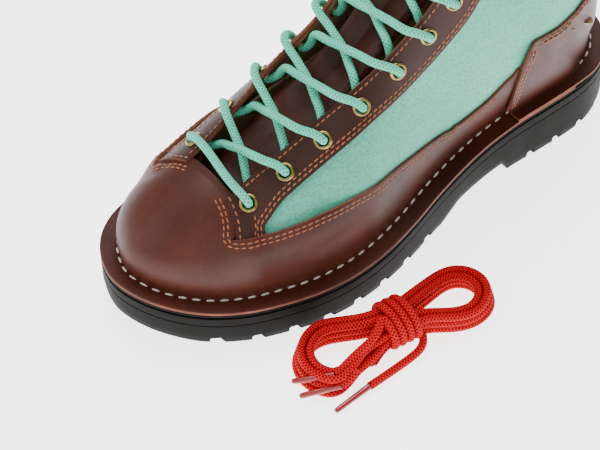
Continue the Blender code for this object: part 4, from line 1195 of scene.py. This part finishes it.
def beside(side, v, g, distance):
    """The line (v, g) moved sideways on the surface; a positive distance is to the right of its way."""
    v, g = np.asarray(v, float), np.asarray(g, float)
    points = surface(side, v, g)
    run = np.gradient(points, axis=0)
    run /= np.linalg.norm(run, axis=1)[:, None]
    over = np.cross(run, normal(side, v, g)) * distance
    by_v = (surface(side, v + 0.03, g) - surface(side, v - 0.03, g)) / 0.06
    by_g = (surface(side, v, np.minimum(g + 0.01, 1)) - surface(side, v, g - 0.01)) / (
        np.minimum(g + 0.01, 1) - g + 0.01)[:, None]
    a, b, c = (by_v**2).sum(1), (by_v * by_g).sum(1), (by_g**2).sum(1)
    d, e = (by_v * over).sum(1), (by_g * over).sum(1)
    root = np.maximum(a * c - b * b, 1e-6)
    return v + (d * c - e * b) / root, np.clip(g + (e * a - d * b) / root, 0, 1)


def row(side, v, g, distance, lift):
    v, g = beside(side, v, g, distance * side)
    rise = lift(side, v, g) if callable(lift) else np.full(v.shape, float(lift))
    return skin(side, v, g, rise), normal(side, v, g)


def vamp_top(side, v, g):
    """Lift of the vamp's face, on the toe, the side wrap and the apron between them."""
    low = wrap_lift(side, v, g)
    return np.where((g > wrap_edge(side, v)) & (v > SLIT), apron_lift(side, v, g), low) + LEATHER


tan_rows, stay_rows, welt_rows = [], [], []
for side, _ in SIDES:
    tip = np.linspace(1, 0, 24)
    tip_v = 0.98 - 0.19 * tip
    tip_g = wrap_edge(side, tip_v) * tip + throat(side, tip_v, -2.0) * (1 - tip)
    v = np.r_[tip_v[:0:-1], dense(0.79, 6.0, 0.03)]
    g = np.r_[tip_g[:0:-1], wrap_edge(side, dense(0.79, 6.0, 0.03))]
    for k in range(4):
        v, g = [np.r_[a[0], (a[:-2] + 2 * a[1:-1] + a[2:]) / 4, a[-1]] for a in (v, g)]
    for distance in (1.8, 3.7):
        tan_rows.append(row(side, v, g, distance, vamp_top))
    v = np.r_[COUNTER_FRONT, COUNTER_REAR[1:]]
    for distance in (2.1, 4.0):
        points, out = row(side, v, counter_edge(side, v), distance,
                          lambda s, v, g: counter_lift(s, v, g) + LEATHER)
        along = np.r_[0, np.cumsum(np.linalg.norm(np.diff(points, axis=0), axis=1))]
        at = np.linspace(along[0], along[-1], 160)
        tan_rows.append([np.stack([smooth(along, part[:, k])(at) for k in range(3)], 1)
                         for part in (points, out)])
    v = dense(1.2, TOP_LINE, 0.03)
    for distance in (1.8, 3.7):
        stay_rows.append(row(side, v, facing_low(side, v), -distance, LIFT["stay"] + LEATHER))
    grid_v, grid_g = facing_grid(side)
    part = np.linspace(0, 1, 20)
    v = EYELETS[side][0] - 0.02 - (EYELETS[side][0] - 0.98) * part
    g = g_at(side, v, eye_mm[side](v) + 5.5, True) * (1 - part) + (facing_low(side, v) + 0.02) * part
    stay_rows.append(row(side, v, g, 0, LIFT["stay"] + LEATHER))
    stay_rows.append(row(side, grid_v[0], grid_g[0], 1.8, LIFT["stay"] + LEATHER))
    v = dense(1.15, TOP_LINE, 0.03)
    stay_rows.append(row(side, v, throat(side, v), 2.0, LIFT["stay"] + LEATHER))
    v = np.linspace(0, HEEL_STATION, 400)
    place = feather(side, v, 8.8)
    height = np.where(v > 5.95, counter_flange(v), 0.35) + LEATHER
    welt_rows.append((np.c_[place, welt_z(place[:, 1]) + height], np.tile((0.0, 0, 1), (len(v), 1))))
stitch_rows("vamp_and_counter_stitches", tan_rows, TAN_THREAD, 3.3, 2.9, 0.36)
stitch_rows("facing_stitches", stay_rows, TAN_THREAD, 3.3, 2.9, 0.36, slot_name="dark_brown_leather")
stitch_rows("welt_stitches", welt_rows, WHITE_THREAD, 6.6, 5.2, 0.62)

# %% [markdown]
# ## Eyelets and hooks
# An eyelet is a short brass tube whose outer end is rolled over into a ring.  A circle is extruded and
# resized step by step along the profile, as on a lathe, and one model serves all fourteen holes.

# %% Turned brass


def turned(name, profile, vertices=28):
    """A lathe: the profile is (radius, height) pairs, in mm."""
    bpy.ops.mesh.primitive_circle_add(vertices=vertices, radius=profile[0][0] * MM,
                                      location=(0, 0, 0))
    piece = bpy.context.object
    piece.name = name
    piece.data.transform(Matrix.Translation((0, 0, profile[0][1] * MM)))
    bpy.ops.object.mode_set(mode="EDIT")
    bpy.ops.mesh.select_mode(type="EDGE")
    bpy.ops.mesh.select_all(action="SELECT")
    for before, after in zip(profile, profile[1:]):
        bpy.ops.mesh.extrude_edges_move(TRANSFORM_OT_translate={"value": (0, 0, (after[1] - before[1]) * MM)})
        size = after[0] / before[0]
        bpy.ops.transform.resize(value=(size, size, 1), center_override=(0, 0, 0))
    bpy.ops.mesh.select_all(action="SELECT")
    bpy.ops.mesh.remove_doubles(threshold=2e-5)
    bpy.ops.mesh.normals_make_consistent(inside=False)
    bpy.ops.object.mode_set(mode="OBJECT")
    bpy.ops.object.shade_smooth_by_angle(angle=math.radians(60))
    piece.data.materials.append(BRASS)
    return piece


TOP = LIFT["stay"] + LEATHER
eyelet = turned("eyelet_model", ((2.75, -1.2), (2.75, TOP + 0.35), (2.95, TOP + 0.85), (3.45, TOP + 1.1),
                                 (4.05, TOP + 0.95), (4.5, TOP + 0.45), (4.6, TOP - 0.05), (3.3, TOP - 0.1),
                                 (3.2, -1.2), (2.75, -1.2)))
hook = turned("hook_model", ((0.02, -0.3), (1.5, -0.3), (1.5, TOP + 0.3), (3.2, TOP + 0.35),
                             (3.4, TOP + 0.75), (3.0, TOP + 1.2), (1.8, TOP + 1.5), (1.6, TOP + 2.2),
                             (1.8, TOP + 3.2), (3.0, TOP + 3.9), (3.4, TOP + 4.5), (3.2, TOP + 5.0),
                             (2.2, TOP + 5.2), (0.02, TOP + 5.25)))
for side, word in SIDES:
    for model, stations, kind in ((eyelet, EYELETS[side], "eyelet"), (hook, HOOKS, "speed_hook")):
        for i, v in enumerate(stations, 1):
            data = model.data.copy()
            data.transform(frame_at(side, v, eye_line(side, v), 0.0))
            piece = bpy.data.objects.new(f"{kind}_brass_{word}_{i}", data)
            bpy.context.scene.collection.objects.link(piece)
            slot_and_body(piece, "boot", "antique_brass", f"{kind}_{word}_{i}")
for model in (eyelet, hook):
    bpy.data.objects.remove(model)

# %% [markdown]
# ## Tongue and collar
# The tongue is a padded leaf that hangs between the facings, and the collar is a foam roll.  The tongue
# is crowned, with soft folds, higher in the middle than at its sewn edges; the collar has an even thickness.

# %% Tongue
TONGUE_DEPTH, TONGUE_THICK, TONGUE_CROWN = 12.8, 3.0, 1.2


def fold(v, t):
    """Soft folds across the tongue, deepest in the middle."""
    return (0.45 * np.sin(v * 5.1 + 1.3 * np.sin(t * 2.4)) + 0.3 * np.sin(v * 9.7 + t * 1.7)) * (1 - t**2)


sheet = Sheet()
stations = dense(1.3, 15.0, 0.06)
for side, _ in SIDES:
    t = side * np.linspace(1, 0, 15)[None, :] * np.ones((len(stations), 1))
    v = np.repeat(stations[:, None], 15, 1)
    crown = (TONGUE_CROWN * (1 - t**2) + fold(v, t) * 0.6)[..., None] * normal(1, v, 0 * v + 0.975)
    sheet.grid(gap_point(v, t, -TONGUE_DEPTH) + crown, side)
    sheet.panel(side, stations, lambda s, v: throat(s, v, 4.0), throat, 4, -TONGUE_DEPTH)
tongue = sheet.finish("tongue_leather_leaf", [TONGUE_LEATHER, TONGUE_LEATHER], TONGUE_THICK, 1.1)
slot_and_body(tongue, "tongue", "dark_brown_leather", "tongue")

# %% Collar
for side, word in SIDES:
    sheet = Sheet()
    sheet.panel(side, dense(13.4, 15.0, 0.08), lambda s, v: g_at(s, v, 1.5 + 0 * v),
                lambda s, v: stay_edge(s, v, 2.0), 30, -9.2)
    collar = sheet.finish("collar_roll_" + word, [COLLAR_FABRIC, COLLAR_FABRIC], 6.8, 0)
    soft = collar.modifiers.new("rolled edge", "BEVEL")
    soft.width, soft.segments = 2.9 * MM, 5
    soft.limit_method, soft.angle_limit = "ANGLE", math.radians(50)
    apply_all(collar)
    bpy.ops.object.shade_smooth_by_angle(angle=math.radians(60))
    slot_and_body(collar, "boot", "grey_foam", "collar_pad_" + word)

# %% [markdown]
# ## Sole
# The sole is lofted from the outline of the foot.  Under the stitched welt runs a dark groove, then the
# midsole's side, and the outsole's lugs are cut by beveled blocks at its edge and across its tread.

# %% Sole


def loft(name, profile, material, count=240):
    """Rings of the sole's outline: profile is (inset, height function) pairs from the top down."""
    share = (1 - np.cos(np.linspace(0, math.pi, count))) / 2
    work, rings = bmesh.new(), []
    for inset, height in profile:
        ring = []
        for side, _ in SIDES:
            edge = outline(side, inset)
            at = fraction(edge)
            x, y = np.interp(share, at, edge[:, 0]), np.interp(share, at, edge[:, 1])
            ring.append(np.c_[x, y, height(y)])
        joined = np.vstack([ring[0], ring[1][::-1][1:-1]])
        rings.append([work.verts.new(Vector(p) * MM) for p in joined])
    total = len(rings[0])
    for upper, lower in zip(rings, rings[1:]):
        for i in range(total):
            k = (i + 1) % total
            work.faces.new((upper[i], upper[k], lower[k], lower[i]))
    for ring, flip in ((rings[0], False), (rings[-1], True)):
        for i in range(count - 1):
            far, near = (total - i) % total, (total - i - 1) % total
            corners = [ring[i], ring[i + 1], ring[near], ring[far]]
            corners = list(dict.fromkeys(corners))
            if len(corners) > 2:
                work.faces.new(corners[::-1] if flip else corners)
    bmesh.ops.recalc_face_normals(work, faces=work.faces)
    mesh = bpy.data.meshes.new(name)
    work.to_mesh(mesh)
    work.free()
    piece = bpy.data.objects.new(name, mesh)
    bpy.context.scene.collection.objects.link(piece)
    mesh.materials.append(material)
    return piece


def under_welt(depth):
    return lambda y: welt_z(y) - depth


midsole = loft("midsole_rubber_edge", [(3.0, under_welt(0.32)), (0.8, under_welt(0.35)),
                                       (0.45, under_welt(0.7)), (0.45, under_welt(1.5)),
                                       (1.6, under_welt(1.8)), (1.6, under_welt(2.7)),
                                       (0.4, under_welt(3.1)), (0.3, under_welt(5.0)),
                                       (0.4, under_welt(7.9)), (0.9, under_welt(8.2)),
                                       (3.0, under_welt(8.3))], SOLE_RUBBER)
selected(midsole)
bpy.ops.object.shade_smooth_by_angle(angle=math.radians(35))
slot_and_body(midsole, "boot", "black_rubber", "midsole")

outsole = loft("outsole_rubber_tread", [(3.0, under_welt(8.4)), (0.9, under_welt(8.5)),
                                        (0.5, under_welt(8.9)),
                                        (0.5, lambda y: np.minimum(ground_z(y) + 6, welt_z(y) - 9.2)),
                                        (1.2, lambda y: ground_z(y) + 0.8), (1.9, ground_z)],
               SOLE_RUBBER, 200)


def lug_cutter(size, place, turn):
    bpy.ops.mesh.primitive_cube_add(size=1, location=[c * MM for c in place], rotation=(0, 0, turn))
    block = bpy.context.object
    block.scale = [s * MM for s in size]
    bpy.ops.object.transform_apply(location=False, rotation=False, scale=True)
    bpy.ops.object.mode_set(mode="EDIT")
    bpy.ops.mesh.select_all(action="SELECT")
    bpy.ops.mesh.bevel(offset=0.6 * MM, segments=1, affect="EDGES")
    bpy.ops.object.mode_set(mode="OBJECT")
    return block


blocks = []
for first, pitch, count, width, turn in ((-124, 17.5, 8, 6, 0.12), (78, 17.5, 4, 5, -0.1)):
    for i in range(count):
        y = first + pitch * i
        depth = float(ground_z(y)) + TREAD_DEPTH if turn > 0 else TREAD_DEPTH
        for side, _ in SIDES:
            half = float(np.interp(y, SOLE_Y, SOLE_LATERAL if side > 0 else np.abs(SOLE_MEDIAL)))
            blocks.append(lug_cutter((24, width, 2 * depth), (side * (half - 4), y, 0), side * turn))
bpy.ops.object.select_all(action="DESELECT")
for block in blocks:
    block.select_set(True)
bpy.context.view_layer.objects.active = blocks[0]
bpy.ops.object.join()
cutter = bpy.context.object
notches = outsole.modifiers.new("lugs", "BOOLEAN")
notches.operation, notches.solver, notches.object = "DIFFERENCE", "EXACT", cutter
apply_all(outsole)
bpy.data.objects.remove(cutter)
bpy.ops.object.shade_smooth_by_angle(angle=math.radians(35))
slot_and_body(outsole, "boot", "black_rubber", "outsole")
print("outsole", len(outsole.data.polygons), "faces")

# %% [markdown]
# ## Parts inside
# The footbed, the insole board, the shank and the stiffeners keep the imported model's shapes, and get a
# finish each.

# %% Inside materials


def inside_finish(name, dark, light, scale, roughness, metallic=0.0):
    paint = Paint(name, roughness, metallic)
    grain = paint.noise(paint.place(), scale, 4)
    return paint.feed(Base_Color=paint.ramp(grain, (0.3, dark), (0.7, light)),
                      Normal=paint.bump(grain, 0.0003, 0.6))


FOAM = inside_finish("footbed_foam", shade(70, 70, 72), shade(98, 98, 100), 800, 0.9)
BOARD = inside_finish("fibre_board", shade(176, 158, 128), shade(204, 188, 158), 500, 0.85)
STEEL = inside_finish("shank_steel", shade(120, 122, 126), shade(168, 170, 174), 300, 0.35, 1.0)
LEATHERBOARD = inside_finish("leatherboard", shade(52, 20, 12), shade(80, 36, 24), 300, 0.7)
inside = {"footbed": FOAM, "insole_board": BOARD, "toe_puff": LEATHERBOARD, "heel_stiffener": LEATHERBOARD,
          "shank": STEEL}
for name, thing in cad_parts.items():
    if name in inside or name.startswith(("lining", "toe_lining")):
        finish = inside.get(name, TAN_LEATHER)
        for slot in thing.material_slots:
            slot.material = finish
print("kept nodes", [n for n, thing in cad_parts.items() if not thing.hide_render])

# %% [markdown]
# ## Studio
# A pale floor and large soft lights, as for a catalogue: the main light stands behind the boot's far side
# so that the leather shows soft highlights, and a wide fill keeps the shadows open.

# %% Floor and lights
bpy.ops.mesh.primitive_plane_add(size=6, location=(0, 0, -0.0004))
floor = bpy.context.object
floor.name = "studio_floor"
paint = Paint("pale_floor", 0.9, specular=0.1)
floor.data.materials.append(paint.feed(Base_Color=paint.ramp(paint.noise(paint.place(), 2, 2),
                                                             (0.0, (0.86, 0.86, 0.86)),
                                                             (1.0, (0.90, 0.90, 0.90)))))
paint.shader.inputs["Emission Color"].default_value = (1, 1, 1, 1)
paint.shader.inputs["Emission Strength"].default_value = 3.0
for name, place, size, power in (("main", (-0.6, 0.4, 1.7), 1.2, 36), ("fill", (1.3, -1.1, 1.3), 1.6, 13),
                                 ("front", (-0.7, -1.5, 1.0), 1.4, 16)):
    bpy.ops.object.light_add(type="AREA", location=place)
    lamp = bpy.context.object
    lamp.name = name + "_light"
    lamp.data.size, lamp.data.energy = size, power
    lamp.rotation_euler = (Vector(place) - Vector((0, -0.02, 0.06))).to_track_quat("Z", "Y").to_euler()
world = bpy.data.worlds.new("studio")
bpy.context.scene.world = world
world.use_nodes = True
world.node_tree.nodes["Background"].inputs["Color"].default_value = (1, 1, 1, 1)
world.node_tree.nodes["Background"].inputs["Strength"].default_value = 0.5
